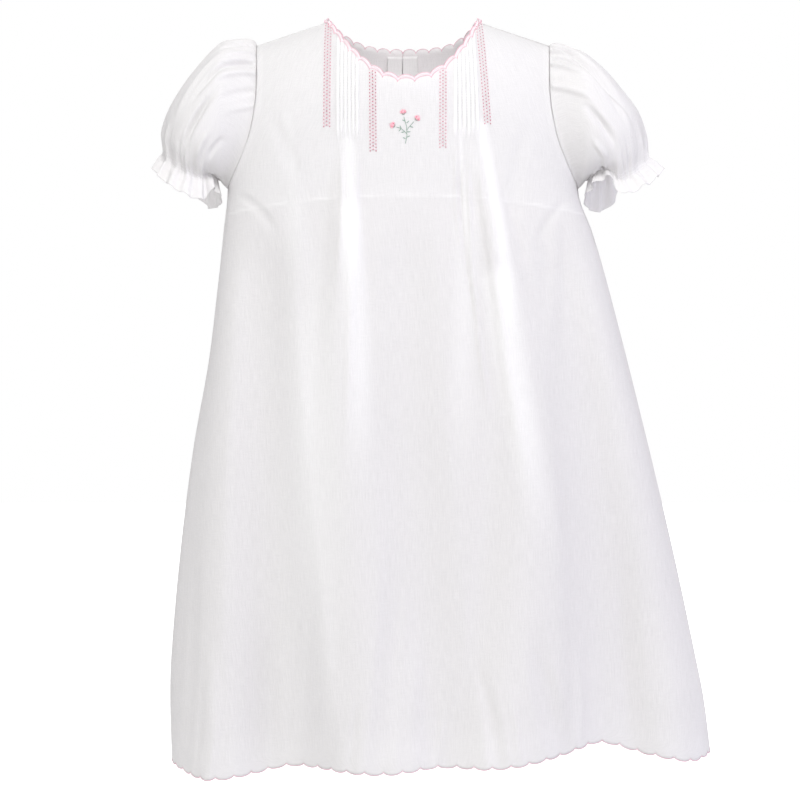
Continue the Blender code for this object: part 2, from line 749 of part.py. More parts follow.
def sleeve_point(side, station, angle, gathers, shift):
    """A point of the sleeve, moved out of its wall's middle by shift, with the gathers that are asked for."""
    step = 0.02
    here = sleeve_base(side, station, angle)
    before = sleeve_base(side, max(station - step, 0), angle)
    after = sleeve_base(side, min(station + step, CUFF_EDGE_STATION), angle)
    around = sleeve_base(side, station, angle + 1) - sleeve_base(side, station, angle - 1)
    normal = around.cross(after - before).normalized()
    middle = (sleeve_base(side, station, 90) + sleeve_base(side, station, 270)) / 2
    if normal.dot(here - middle) < 0:
        normal = -normal
    lift = shift
    if gathers:
        lift += cap_gather(station, angle) + cuff_gather(station, angle)
    elif station >= ELASTIC_STATION:
        lift += cuff_gather(station, angle)
    return here + normal * lift


def cap_angles():
    """Angles that follow the cap's gathers and leave out what the under arm doesn't need."""
    step = CAP_SPREAD / CAP_GATHERS * 2 / 3
    count = 3 * CAP_GATHERS // 2
    fine = [90 + i * step for i in range(-count, count + 1)]
    rest = 360 - 2 * count * step
    return fine + [fine[-1] + rest * i / 10 for i in range(1, 10)]


def sleeve(side, sign, finish):
    wall = Wall()
    plain = [i * 360 / SLEEVE_PLAIN_COLUMNS for i in range(SLEEVE_PLAIN_COLUMNS)]
    waved = [i * 360 / (4 * CUFF_GATHERS) for i in range(4 * CUFF_GATHERS)]
    cap = sorted(angle % 360 for angle in cap_angles())

    def points(angles, station, shift, gathers):
        found = []
        for angle in angles:
            point = sleeve_point(side, station, angle, gathers, shift)
            found.append((angle / 360, Vector((sign * point.x, point.y, point.z))))
        return found

    rows = [(station, cap) for station in SLEEVE_CAP_STATIONS]
    rows += [(station, plain) for station in SLEEVE_PLAIN_STATIONS]
    rows += [(station, waved) for station in SLEEVE_CUFF_STATIONS]
    for station, angles in rows:
        inside = waved if station >= ELASTIC_STATION else plain
        outer = points(angles, station, SLEEVE_WALL / 2, True)
        wall.row(outer, points(inside, station, -SLEEVE_WALL / 2, False))
    return wall.finish(f"sleeve_{side}", finish, closed=True)


def main():
    for item in list(bpy.data.objects):
        bpy.data.objects.remove(item)
    batiste = material("white_batiste", (0.93, 0.925, 0.92), 0.85)
    pink = material("pink_trim", (0.92, 0.62, 0.68), 0.6)
    pearl = material("pearl_button", (0.93, 0.92, 0.9), 0.25)
    for panel in PANELS:
        body_panel(panel, batiste)
    bodice_lining(batiste)
    for trim in TRIMS:
        front_trim(trim, pink)
    back_opening(batiste, pearl)
    sleeve("left", -1, batiste)
    sleeve("right", 1, batiste)


main()
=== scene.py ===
# %% [markdown]
# # A newborn's daygown, from its packed frame to its cloth, threads and light
# The gown is fine white cotton, sheer enough to show a lining behind it, with pintucks, pink openwork,
# a scalloped neck and hem, and short sleeves gathered into elastic. The rigid solids of the frame give
# every panel its place and size. This lesson dresses them, piece by piece, with thin cloth and real stitches.

# %% Load the frame and keep its box
import math
from collections import namedtuple

import bmesh
import bpy
import numpy as np
from mathutils import Matrix, Vector


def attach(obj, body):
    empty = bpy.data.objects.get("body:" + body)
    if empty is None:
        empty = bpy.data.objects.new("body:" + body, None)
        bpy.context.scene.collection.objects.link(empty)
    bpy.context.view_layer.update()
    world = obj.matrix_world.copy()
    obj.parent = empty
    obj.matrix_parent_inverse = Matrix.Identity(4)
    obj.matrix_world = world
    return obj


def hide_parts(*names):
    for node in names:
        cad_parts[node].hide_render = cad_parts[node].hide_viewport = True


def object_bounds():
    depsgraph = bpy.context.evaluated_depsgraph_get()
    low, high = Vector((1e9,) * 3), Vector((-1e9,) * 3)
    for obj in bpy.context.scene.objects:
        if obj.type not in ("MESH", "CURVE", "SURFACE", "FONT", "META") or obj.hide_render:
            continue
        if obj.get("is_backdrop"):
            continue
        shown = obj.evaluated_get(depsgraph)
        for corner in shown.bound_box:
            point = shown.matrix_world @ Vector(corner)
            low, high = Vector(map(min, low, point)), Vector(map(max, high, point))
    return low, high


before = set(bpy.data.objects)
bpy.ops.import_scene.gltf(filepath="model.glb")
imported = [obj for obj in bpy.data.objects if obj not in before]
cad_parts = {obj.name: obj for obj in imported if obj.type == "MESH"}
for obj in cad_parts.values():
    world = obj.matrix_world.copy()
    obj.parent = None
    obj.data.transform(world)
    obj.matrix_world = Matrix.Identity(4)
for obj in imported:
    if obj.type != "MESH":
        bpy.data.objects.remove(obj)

MM = 0.001
cad_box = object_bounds()
print("box of the solids in mm", [[round(v / MM, 1) for v in corner] for corner in cad_box])

# %% [markdown]
# ## Smooth curves through short tables
# A pattern cutter notes a few widths down the gown and draws one smooth line through them. The same is
# done here: each table has a row for each height, and a curve without kinks runs through its rows. numpy
# works out thousands of points in one go, which a loop in Python would take minutes over.

# %% Curves and soft steps
def smooth(table, at, column):
    """Values between a table's rows, on a curve through them without kinks. The first column rises."""
    keys = np.array([row[0] for row in table], float)
    values = np.array([getattr(row, column) for row in table], float)
    rows = np.arange(len(keys))
    before, after = np.maximum(rows - 1, 0), np.minimum(rows + 1, len(keys) - 1)
    slopes = (values[after] - values[before]) / (keys[after] - keys[before])
    at = np.clip(at, keys[0], keys[-1])
    low = np.clip(np.searchsorted(keys, at, side="right") - 1, 0, len(keys) - 2)
    gap = keys[low + 1] - keys[low]
    t = (at - keys[low]) / gap
    return (
        values[low] * (2 * t**3 - 3 * t**2 + 1)
        + slopes[low] * gap * (t**3 - 2 * t**2 + t)
        + values[low + 1] * (3 * t**2 - 2 * t**3)
        + slopes[low + 1] * gap * (t**3 - t**2)
    )


def ease(t):
    """A soft step from 0 to 1."""
    t = np.clip(t, 0.0, 1.0)
    return t * t * (3 - 2 * t)


def bump(t):
    """A soft hill of height 1 at 0 that ends at -1 and 1."""
    return np.where(np.abs(t) < 1, (1 - np.minimum(np.abs(t), 1.0) ** 2) ** 2, 0.0)


def distances(path):
    """The distance along one line of points, from its first point."""
    return np.concatenate(([0.0], np.cumsum(np.linalg.norm(np.diff(path, axis=0), axis=-1))))


print("halfway up a soft step:", float(ease(0.5)))

# %% [markdown]
# ## The gown's own form
# Seen from the front the gown is an A-line that hangs a little to the right, and seen from above each
# section is a flattened round. These are the sizes of the frame's solids, in millimetres, because the
# cloth that replaces a solid has to stay where the solid is.

# %% Sizes of the body
NECK_HALF = 51.0
SHOULDER_HALF = 99.0
SHOULDER_FALL = 16.0
ARMPIT_Z = -114.0
HEM_Z = -500.0
SEAM = 0.3
CLOTH = 1.2
ROUNDNESS = 2.3
FRONT = -1
BACK = 1
SHOULDER_CAP = {FRONT: 70.0, BACK: 60.0}

Neck = namedtuple("Neck", "drop left_power right_power")
NECKS = {FRONT: Neck(44.0, 1.9, 2.6), BACK: Neck(17.0, 3.0, 4.0)}

Section = namedtuple("Section", "z left right front back")
SECTIONS = (
    Section(-520, 156, 203, 79, 71),
    Section(-461, 158, 199, 76, 67),
    Section(-427, 157, 193, 73, 65),
    Section(-359, 151, 180, 67, 59),
    Section(-288, 142, 165, 61, 53),
    Section(-226, 131, 151, 56, 48),
    Section(-175, 125, 138, 51, 44),
    Section(-144, 122, 129, 49, 42),
    Section(ARMPIT_Z, 119, 119, 47, 40),
    Section(30, 119, 119, 46, 39),
)

ArmholeEdge = namedtuple("ArmholeEdge", "z half")
ARMHOLE = (
    ArmholeEdge(ARMPIT_Z, 119),
    ArmholeEdge(-96, 110),
    ArmholeEdge(-78, 103),
    ArmholeEdge(-52, 98.5),
    ArmholeEdge(-SHOULDER_FALL, SHOULDER_HALF),
)

HemEdge = namedtuple("HemEdge", "across front back")
HEM = (
    HemEdge(-1.00, -499, -499),
    HemEdge(-0.80, -505, -498),
    HemEdge(-0.55, -496, -502),
    HemEdge(-0.20, -499, -497),
    HemEdge(0.00, -495, -500),
    HemEdge(0.23, -495, -495),
    HemEdge(0.45, -488, -497),
    HemEdge(0.64, -481, -490),
    HemEdge(0.90, -495, -492),
    HemEdge(1.00, -492, -492),
)
print("sections", len(SECTIONS), "hem places", len(HEM))

# %% [markdown]
# ## Folds, from the whole skirt down to a single crease
# A hanging skirt swings in and out in broad folds. The frame has those already. On top of them real cloth
# has creases a few millimetres wide, which pull from a seam or fade out of a tuck. Each one is listed
# here: where it starts and ends, how far it bows, its width and its height. None is like the next.

# %% Tables of folds and creases
Fold = namedtuple("Fold", "start start_x mid_x hem_x start_width hem_width start_height hem_height")
FOLDS = {
    FRONT: (
        Fold(-150, -114, -120, -124, 12, 34, 1.0, 9.0),
        Fold(-125, -92, -88, -76, 18, 40, -2.5, -17.0),
        Fold(-84, -37, -36, -14, 9, 46, 4.0, 8.0),
        Fold(-125, 2, 8, 22, 20, 34, -2.0, -5.0),
        Fold(-80, 45, 82, 68, 9, 44, 4.0, 9.0),
        Fold(-84, 36, 58, 40, 4, 16, 1.5, -1.0),
        Fold(-125, 95, 126, 141, 18, 42, -2.5, -17.0),
        Fold(-150, 116, 160, 190, 12, 34, 1.0, 9.0),
    ),
    BACK: (
        Fold(-150, -100, -112, -116, 14, 34, 1.0, 9.0),
        Fold(-190, -66, -68, -66, 18, 36, -2.0, -14.0),
        Fold(-190, -26, -20, -16, 18, 36, 2.5, 9.0),
        Fold(-215, 14, 20, 32, 18, 34, -1.5, -11.0),
        Fold(-190, 54, 68, 80, 18, 36, 2.5, 10.0),
        Fold(-150, 88, 116, 134, 16, 38, -2.0, -14.0),
        Fold(-170, 122, 160, 182, 12, 32, 1.0, 8.0),
    ),
}
FOLD_RISE = 0.14

Crease = namedtuple("Crease", "x z to_x to_z bow width height")
CREASES = {
    FRONT: (
        Crease(-30, -84, -26, -205, -2, 3.2, 0.9),
        Crease(-42, -86, -45, -190, 3, 3.4, 0.8),
        Crease(-35, -90, -37, -300, 2, 5.5, 1.2),
        Crease(39, -82, 52, -225, -5, 2.4, -1.0),
        Crease(44, -82, 62, -290, -6, 3.2, 1.2),
        Crease(50, -84, 74, -240, -5, 4.0, 0.9),
        Crease(35, -82, 40, -170, -2, 2.4, 0.8),
        Crease(56, -100, 86, -330, -6, 7.0, 1.4),
        Crease(-74, -92, -70, -200, 4, 11.0, 1.2),
        Crease(-92, -60, -66, -150, 6, 10.0, -0.8),
        Crease(86, -66, 74, -160, -6, 11.0, -0.8),
        Crease(-112, -118, -84, -150, 4, 6.0, -1.0),
        Crease(112, -120, 88, -158, -3, 6.0, -1.1),
        Crease(100, -128, 96, -235, 4, 10.0, 1.0),
        Crease(-8, -330, -14, -492, 3, 13.0, -2.8),
        Crease(12, -400, 8, -493, -3, 9.0, 1.5),
        Crease(-52, -350, -60, -494, 3, 14.0, 1.5),
        Crease(44, -420, 60, -487, 3, 8.0, -1.8),
        Crease(84, -400, 104, -484, -3, 14.0, -3.2),
        Crease(112, -400, 118, -482, 3, 9.0, 1.4),
        Crease(-99, -385, -96, -503, 3, 14.0, -3.4),
        Crease(-124, -410, -124, -503, 2, 9.0, 2.2),
        Crease(150, -330, 160, -490, -4, 12.0, -1.8),
        Crease(-138, -330, -142, -500, 3, 9.0, -1.0),
        Crease(-30, -440, -34, -496, 1, 5.0, -1.0),
        Crease(26, -452, 22, -493, 1, 4.5, 0.9),
        Crease(66, -446, 74, -482, 2, 4.5, 0.9),
        Crease(-118, -452, -122, -502, 1, 5.0, 0.8),
    ),
    BACK: (
        Crease(-88, -60, -60, -150, 5, 11.0, -0.9),
        Crease(86, -62, 58, -158, -6, 10.0, -0.9),
        Crease(-12, -196, -30, -300, 3, 6.0, 1.2),
        Crease(12, -196, 28, -310, -3, 7.0, 1.2),
        Crease(-108, -122, -78, -170, 4, 7.0, -1.0),
        Crease(108, -122, 82, -168, -4, 7.0, -1.0),
        Crease(-40, -330, -46, -492, 4, 12.0, -1.6),
        Crease(20, -380, 12, -494, -3, 10.0, 1.5),
        Crease(-96, -390, -92, -494, 3, 9.0, 1.4),
        Crease(62, -400, 54, -490, 3, 9.0, -1.5),
        Crease(112, -360, 120, -488, -3, 11.0, 1.6),
        Crease(150, -410, 156, -490, 2, 8.0, -1.2),
    ),
}
CREASE_RISE = 0.25
CREASE_FALL = 0.35
HEM_CREASE_Z = -475.0
HEM_CREASE_RISE = 0.6
CREASE_NARROW = 0.6
print("creases in front and behind:", len(CREASES[FRONT]), len(CREASES[BACK]))


# %% The form with no folds
BELOW_SHOULDER = 0.6


def form(z):
    """The body's middle, half width, and depths in front and behind, at heights z."""
    left = smooth(SECTIONS, z, "left")
    right = smooth(SECTIONS, z, "right")
    return (right - left) / 2, (right + left) / 2, smooth(SECTIONS, z, "front"), smooth(SECTIONS, z, "back")


def shoulder_z(x):
    """The height of the shoulder seam, carried on over the neck."""
    return -SHOULDER_FALL * (np.abs(x) - NECK_HALF) / (SHOULDER_HALF - NECK_HALF)


def neck_z(x, side):
    neck = NECKS[side]
    power = np.where(x < 0, neck.left_power, neck.right_power)
    return -neck.drop * (1 - np.minimum(1.0, np.abs(x) / NECK_HALF) ** power)


def top_z(x, side):
    """The panel's upper edge: the neck, then the shoulder seam."""
    return np.where(np.abs(x) < NECK_HALF, neck_z(x, side), shoulder_z(x))


def shoulder_share(x, z, side):
    """How far the cloth has come forward from the shoulder seam, from 0 to 1."""
    cap = SHOULDER_CAP[side]
    drop = np.clip(shoulder_z(x) - z, 0.0, cap)
    return np.sqrt(np.maximum(0.0, 1 - (1 - drop / cap) ** 2))


def depth(x, z, side):
    """How far the cloth's outside is from the middle plane, with no folds."""
    middle, half, front, back = form(z)
    full = front if side == FRONT else back
    across = np.minimum(1.0, np.abs(x - middle) / half)
    return full * shoulder_share(x, z, side) * (1 - across**ROUNDNESS) ** (1 / ROUNDNESS)


def body_normals(x, z, side):
    """The directions that point out of the cloth."""
    z = np.minimum(z, shoulder_z(x) - BELOW_SHOULDER)
    y = side * np.maximum(depth(x, z, side), SEAM / 2)

    def level(px, py, pz):
        middle, half, front, back = form(pz)
        full = (front if side == FRONT else back) * shoulder_share(px, pz, side)
        return (np.abs(px - middle) / half) ** ROUNDNESS + (np.abs(py) / full) ** ROUNDNESS

    step = 0.05
    slope = np.stack((
        level(x + step, y, z) - level(x - step, y, z),
        level(x, y + step, z) - level(x, y - step, z),
        level(x, y, z + step) - level(x, y, z - step),
    ), -1)
    return slope / np.linalg.norm(slope, axis=-1, keepdims=True)


print("depth of the front at the chest:", round(float(depth(0.0, -150.0, FRONT)), 1))


# %% Where the folded cloth lies
def fold_height(x, z, side):
    """How far the broad folds of the skirt lift the cloth."""
    lift = np.zeros_like(x)
    for fold in FOLDS[side]:
        p = np.clip((fold.start - z) / (fold.start - HEM_Z), 0.0, None)
        curve = 4 * (fold.mid_x - (fold.start_x + fold.hem_x) / 2) * p * (1 - p)
        place = fold.start_x + (fold.hem_x - fold.start_x) * p + curve
        width = fold.start_width + (fold.hem_width - fold.start_width) * p
        height = fold.start_height + (fold.hem_height - fold.start_height) * p
        lift += height * ease(p / FOLD_RISE) * bump((x - place) / width)
    return lift


def beside_line(line, x, z):
    """How far along a bowed line a place is, the same kept from 0 to 1, and how far to its side."""
    run = np.array((line.to_x - line.x, line.to_z - line.z), float)
    length = np.hypot(*run)
    along = ((x - line.x) * run[0] + (z - line.z) * run[1]) / length**2
    across = ((x - line.x) * run[1] - (z - line.z) * run[0]) / length
    inside = np.clip(along, 0.0, 1.0)
    return along, inside, across + line.bow * 4 * inside * (1 - inside)


def crease_height(x, z, side):
    """How far the small creases lift the cloth. They fade at their ends, or run off at the hem."""
    lift = np.zeros_like(x)
    for crease in CREASES[side]:
        along, inside, across = beside_line(crease, x, z)
        taper = ease(along / CREASE_RISE) * ease((1 - along) / CREASE_FALL)
        if crease.to_z < HEM_CREASE_Z:
            taper = ease(along / HEM_CREASE_RISE)
        width = crease.width * (CREASE_NARROW + (1 - CREASE_NARROW) * inside)
        lift += crease.height * taper * bump(across / width)
    return lift


def body_points(x, z, side, lift=0.0):
    """Points of the cloth's outside, moved out by lift and kept on their own side of the side seams."""
    x, z = np.broadcast_arrays(np.asarray(x, float), np.asarray(z, float))
    normals = body_normals(x, z, side)
    y = side * np.maximum(depth(x, z, side), SEAM / 2)
    height = fold_height(x, z, side) + crease_height(x, z, side) + lift
    points = np.stack((x, y, z), -1) + normals * height[..., None]
    points[..., 1] = side * np.maximum(side * points[..., 1], SEAM / 2)
    return points


print("a point of the front at the chest:", np.round(body_points(0.0, -150.0, FRONT), 1))

# %% [markdown]
# ## Where the cloth lies in layers
# Sheer cloth looks whiter where it lies in layers. A pintuck has three, and below its release the fullness
# stays folded for a while and then opens. Each stream below but one is such a pleat or fuller fold, with
# its line, its width and its share of extra layers. The broad one down the left of the skirt is painted
# light: it makes the cloth whiter where a fold faces the lamp. The share goes on the sheet as an attribute,
# which the cloth's material reads.

# %% Streams of folded cloth below the tucks, and a band of painted light
Stream = namedtuple("Stream", "x z to_x to_z bow width layers rise", defaults=(0.06,))
STREAMS_AND_LIGHT_BAND = (
    Stream(-37.5, -66, -33, -200, 1, 9.0, 0.6),
    Stream(-36, -120, -28, -340, 3, 12.0, 0.5),
    # Not folded cloth: painted light, a broad whiter band down the left of the skirt where a fold faces the
    # lamp
    Stream(-60, -120, -60, -520, 0, 34.0, 0.5, 0.4),
    Stream(-78, -60, -74, -200, 3, 8.0, 0.3),
    Stream(50, -66, 71, -225, 3, 7.5, 0.75),
    Stream(61, -165, 97, -370, -2, 15.0, 0.6),
    Stream(38, -66, 46, -175, -2, 2.4, 0.5),
    Stream(44, -120, 40, -330, -3, 12.0, 0.25),
)
STREAM_FALL = 0.5


def stream_layers_and_light(x, z):
    """How folded the front's cloth is at a place, from 0 for a single layer to 1, with the band of painted
    light added in.
    """
    share = np.zeros_like(x)
    for stream in STREAMS_AND_LIGHT_BAND:
        along, _, across = beside_line(stream, x, z)
        ends = ease(along / stream.rise) * ease((1 - along) / STREAM_FALL)
        share += stream.layers * ends * bump(across / stream.width)
    return np.clip(share, 0.0, 1.0)


print("streams of folded cloth:", len(STREAMS_AND_LIGHT_BAND))

# %% [markdown]
# ## A sheet of cloth as rows of points
# Cloth could be simulated, but a gown that hangs filled out with nobody in it needs its shape held, so the
# sheets are laid out row by row on the form above. Rows may hold different numbers of points: the tucked
# yoke needs far closer columns than the skirt does. A sheet starts as one layer and the Solidify modifier
# gives it its thickness at the end. Its UV map is in metres along the cloth, so weave and slubs on it have
# their true size and follow the surface.

# %% Objects, and plain meshes from their modifiers
SHEET_THICK = 0.35


def add_object(name, data):
    item = bpy.data.objects.new(name, data)
    bpy.context.scene.collection.objects.link(item)
    return item


def settle(piece):
    """Turns a piece with modifiers into a plain mesh and removes them."""
    graph = bpy.context.evaluated_depsgraph_get()
    made = bpy.data.meshes.new_from_object(piece.evaluated_get(graph))
    old = piece.data
    piece.modifiers.clear()
    piece.data = made
    made.name = piece.name
    bpy.data.meshes.remove(old)


def thicken(mesh, inside_out, thick):
    """A sheet's mesh as an object, with its faces turned outward and its thickness applied inward."""
    if inside_out:
        mesh.flip_normals()
    mesh.shade_smooth()
    piece = add_object(mesh.name, mesh)
    wall = piece.modifiers.new("thickness", "SOLIDIFY")
    wall.thickness = thick * MM
    wall.offset = -1.0
    settle(piece)
    return piece


def triangles(piece):
    return sum(len(face.vertices) - 2 for face in piece.data.polygons)


print("a sheet's own thickness in mm:", SHEET_THICK)

# %% Make a cloth sheet from blocks of rows
Block = namedtuple("Block", "points keys layers dense", defaults=(0.0, 0.0))
RowEnd = namedtuple("RowEnd", "numbers keys down points")


def lengths(points, axis):
    """The distance along each line of points, from its first point."""
    steps = np.linalg.norm(np.diff(points, axis=axis), axis=-1)
    pad = [(1, 0), (0, 0)] if axis == 0 else [(0, 0), (1, 0)]
    return np.pad(np.cumsum(steps, axis=axis), pad)


def bridge(first, second, first_keys, second_keys):
    """Triangles between two rows that hold different numbers of points."""
    faces = []
    i = j = 0
    while i < len(first) - 1 or j < len(second) - 1:
        last_i, last_j = i == len(first) - 1, j == len(second) - 1
        if last_j or (not last_i and first_keys[i + 1] <= second_keys[j + 1]):
            faces.append((first[i], second[j], first[i + 1]))
            i += 1
        else:
            faces.append((first[i], second[j], second[j + 1]))
            j += 1
    return faces


def sheet_mesh(name, blocks, outward, thick=SHEET_THICK):
    """A sheet of cloth from blocks of rows, each (rows, columns, 3) in millimetres, with UVs in metres."""
    points, uvs, faces = [], [], []
    marks = {"layers": [], "dense": []}
    last = None
    for block in blocks:
        rows, columns = block.points.shape[:2]
        for mark, values in marks.items():
            values.append(np.broadcast_to(getattr(block, mark), (rows, columns)).ravel())
        across = lengths(block.points, 1)
        across -= np.array([np.interp(0.0, block.keys, row) for row in across])[:, None]
        down = lengths(block.points, 0)
        if last is None:
            down -= down[-1]
        else:
            above = [np.interp(block.keys, last.keys, places) for places in last.points.T]
            gap = np.linalg.norm(block.points[0] - np.stack(above, -1), axis=-1)
            down += np.interp(block.keys, last.keys, last.down) + gap
        numbers = np.arange(rows * columns).reshape(rows, columns) + sum(len(p) for p in points)
        if last is not None:
            faces += bridge(last.numbers, numbers[0], last.keys, block.keys)
        faces += np.stack(
            (numbers[:-1, :-1], numbers[1:, :-1], numbers[1:, 1:], numbers[:-1, 1:]), -1
        ).reshape(-1, 4).tolist()
        points.append(block.points.reshape(-1, 3))
        uvs.append(np.stack((across, down), -1).reshape(-1, 2))
        last = RowEnd(numbers[-1], block.keys, down[-1], block.points[-1])
    mesh = bpy.data.meshes.new(name)
    mesh.from_pydata((np.concatenate(points) * MM).tolist(), [], [list(map(int, face)) for face in faces])
    corners = np.empty(len(mesh.loops), int)
    mesh.loops.foreach_get("vertex_index", corners)
    loop_uvs = (np.concatenate(uvs) * MM)[corners].astype(np.float32)
    mesh.uv_layers.new(name="cloth").uv.foreach_set("vector", loop_uvs.ravel())
    for mark, values in marks.items():
        attribute = mesh.attributes.new(mark, "FLOAT", "POINT")
        attribute.data.foreach_set("value", np.concatenate(values).astype(np.float32))
    middle_face = mesh.polygons[len(mesh.polygons) // 2]
    return thicken(mesh, middle_face.normal.dot(Vector(outward)) < 0, thick)


print("what a block of rows holds:", Block._fields)

# %% [markdown]
# ## Pintucks
# A pintuck is a fold 0.8 mm high, pressed to one side and stitched along its foot. Six of them run
# down from the neck on each side and open where the stitching ends. They could be painted on as a bump,
# but they catch the light and end in soft pleats, so they are real folds in the sheet.

# %% Tuck rules
TuckGroup = namedtuple("TuckGroup", "first neck_pitch release_pitch release_z")
TUCK_GROUPS = (
    TuckGroup(-43.3, 2.6, 2.6, -82),
    TuckGroup(34.9, 2.45, 2.95, -80),
)
TUCKS_IN_GROUP = 6
TUCK_HEIGHT = 0.8
TUCK_FADE = 14.0
SPREAD_FADE = 16.0
NECK_BAND = 2.2
NECK_BAND_SOFT = 2.5

# The section of one tuck: how far along the cloth, for tucks this far apart, and the share of its height
PROFILE_PITCH = 2.6
TUCK_PROFILE = (
    (-1.05, 0.0), (-0.86, 0.62), (-0.7, 0.8), (-0.15, 0.9),
    (0.45, 1.0), (0.62, 0.94), (0.74, 0.5), (0.86, 0.0),
)


def tuck_pitch(group, z):
    return group.neck_pitch + (group.release_pitch - group.neck_pitch) * ease(z / group.release_z)


def tuck_share(group, z):
    """How much of a tuck's height is left: all of it above the release, none a little below."""
    return 1 - ease((group.release_z + TUCK_FADE / 2 - z) / TUCK_FADE)


def below_band(x, z):
    """0 under the neck's band, where the tucks are sewn flat, and 1 below it."""
    return ease((neck_z(x, FRONT) - z - NECK_BAND) / NECK_BAND_SOFT)


def tuck_height(x, z):
    """How far the pintucks lift the front at a place."""
    places, heights = zip(*TUCK_PROFILE)
    lift = np.zeros_like(x)
    for group in TUCK_GROUPS:
        pitch = tuck_pitch(group, z)
        number = np.clip(np.round((x - group.first) / pitch), 0, TUCKS_IN_GROUP - 1)
        off = (x - group.first - number * pitch) * PROFILE_PITCH / pitch
        lift += np.interp(off, places, heights, left=0.0, right=0.0) * TUCK_HEIGHT * tuck_share(group, z)
    return lift * below_band(x, z)


def tuck_shift(x0, z):
    """How far a column has moved sideways because the tucks spread towards their release."""
    shift = np.zeros_like(z)
    for group in TUCK_GROUPS:
        reach = group.neck_pitch * (TUCKS_IN_GROUP - 0.5)
        spread = tuck_pitch(group, z) / group.neck_pitch - 1
        inside = np.clip(x0 - group.first, 0.0, reach)
        shift = shift + inside * spread * (1 - ease((x0 - group.first - reach) / SPREAD_FADE))
    return shift


def yoke_columns(count):
    """Columns from -1 to 1 at the shoulder line: count even ones, and closer ones in the tucks."""
    places = list(np.linspace(-SHOULDER_HALF, SHOULDER_HALF, count))
    for group in TUCK_GROUPS:
        for i in range(TUCKS_IN_GROUP):
            middle = group.first + i * group.neck_pitch
            near = middle - PROFILE_PITCH / 2, middle + PROFILE_PITCH / 2
            places = [x for x in places if not near[0] < x < near[1]]
            places += [middle + off * group.neck_pitch / PROFILE_PITCH for off, _ in TUCK_PROFILE]
    return np.array(sorted(places)) / SHOULDER_HALF


tucked_columns = yoke_columns(210)
print("columns across the tucked yoke:", len(tucked_columns))

# %% How full the front looks
# The lining's hem at the middle and at the side seams, and how much fuller the front looks over the lining,
# over its turned hem and in the seam of the armhole
LINING_HEM = (-122.0, -133.0)
LINED_SHARE = 0.14
LINED_SOFT = 0.8
TURNED_SHARE = 0.42
TURNED_ABOVE_HEM = 1.0
TURNED_HALF = 1.7
SEAM_SHARE = 0.22
SEAM_ALLOWANCE = 5.0


def lining_hem(share):
    """The height of the lining's hem, by the share of the gown's half width."""
    return LINING_HEM[0] + (LINING_HEM[1] - LINING_HEM[0]) * share**2


def front_layers_and_light(x, z):
    """The front's share of extra layers: in tucks and streams, over the lining, and in the armhole's seam. It
    also carries the band of painted light from the streams.
    """
    folded = np.maximum(stream_layers_and_light(x, z), tuck_height(x, z) / TUCK_HEIGHT)
    middle, half, _, _ = form(z)
    hem = lining_hem(np.clip((x - middle) / half, -1, 1))
    lined = LINED_SHARE * ease((z - hem) / LINED_SOFT)
    uneven = 0.5 + 0.5 * np.sin(0.11 * x + 1.1) ** 2
    turned = TURNED_SHARE * bump((z - hem - TURNED_ABOVE_HEM) / TURNED_HALF) * uneven
    folded = np.maximum(folded, np.maximum(lined, turned))
    armhole = smooth(ARMHOLE, np.maximum(z, ARMPIT_Z), "half") - np.abs(x)
    folded = np.maximum(folded, SEAM_SHARE * ease(SEAM_ALLOWANCE - armhole) * (z > ARMPIT_Z))
    return np.clip(folded, 0.0, 1.0)


chest = front_layers_and_light(np.array([0.0]), np.array([-100.0]))
print("share of extra layers over the lining:", round(float(chest[0]), 2))

# %% [markdown]
# ## Front and back panels
# The front is cut in one piece from neck to hem, and the back in two that meet at a buttoned opening. Each
# panel is a yoke block of rows down to a little under the armpits and a skirt block below. The neck and the
# hem end in scallops, small half rounds that share out the length of the edge.

# %% Edges with scallops
SCALLOP_DEPTH = 2.4
NECK_SCALLOP_DEPTH = 3.1
NOTCH_X = -3.3
HEM_STIFFENED = 34.0
HEM_SCALLOPS = 38
Panel = namedtuple("Panel", "name side first last neck_scallops seam_side")
PANELS = (
    Panel("cloth_front", FRONT, -1.0, 1.0, 18, 0),
    Panel("cloth_back_left", BACK, -1.0, 0.0, 8, -1),
    Panel("cloth_back_right", BACK, 0.0, 1.0, 8, 1),
)


def half_rounds(share, count):
    """The height of a row of scallops, from 0 to 1, at shares of an edge's length."""
    turn = np.clip(share, 0.0, 1.0) * count
    return np.sqrt(np.maximum(0.0, 1 - (2 * (turn - np.floor(turn)) - 1) ** 2)) * (turn < count)


def neck_span(panel, count):
    """Places along the shoulder line, from one end of a panel's neck to the other."""
    first = max(panel.first * SHOULDER_HALF, -NECK_HALF)
    last = min(panel.last * SHOULDER_HALF, NECK_HALF)
    return np.linspace(first, last, count)


def neck_lift(x0, panel):
    """How far the neck's scallops raise the top edge, at places along the shoulder line."""
    reach = neck_span(panel, 400)
    steps = distances(body_points(reach, neck_z(reach, panel.side), panel.side))
    share = np.interp(x0, reach, steps / steps[-1], left=-1.0, right=2.0)
    if panel.side == FRONT:
        notch = np.interp(NOTCH_X, reach, steps / steps[-1])
        share = np.where((share >= 0) & (share <= 1), np.interp(share, (0, notch, 1), (0, 0.5, 1)), share)
    on_neck = (share >= 0) & (share <= 1)
    return np.where(on_neck, half_rounds(share, panel.neck_scallops) * NECK_SCALLOP_DEPTH, 0.0)


def hem_z(share, side):
    """The height of the hem, by the share of the gown's half width."""
    return smooth(HEM, share, "front" if side == FRONT else "back")


def hem_rounds(by_length, panel):
    """How far the hem's scallops hang below it, by the share of the hem's length."""
    return half_rounds(by_length, round(HEM_SCALLOPS * (panel.last - panel.first) / 2)) * SCALLOP_DEPTH


print("scallops round the whole hem:", 2 * HEM_SCALLOPS)


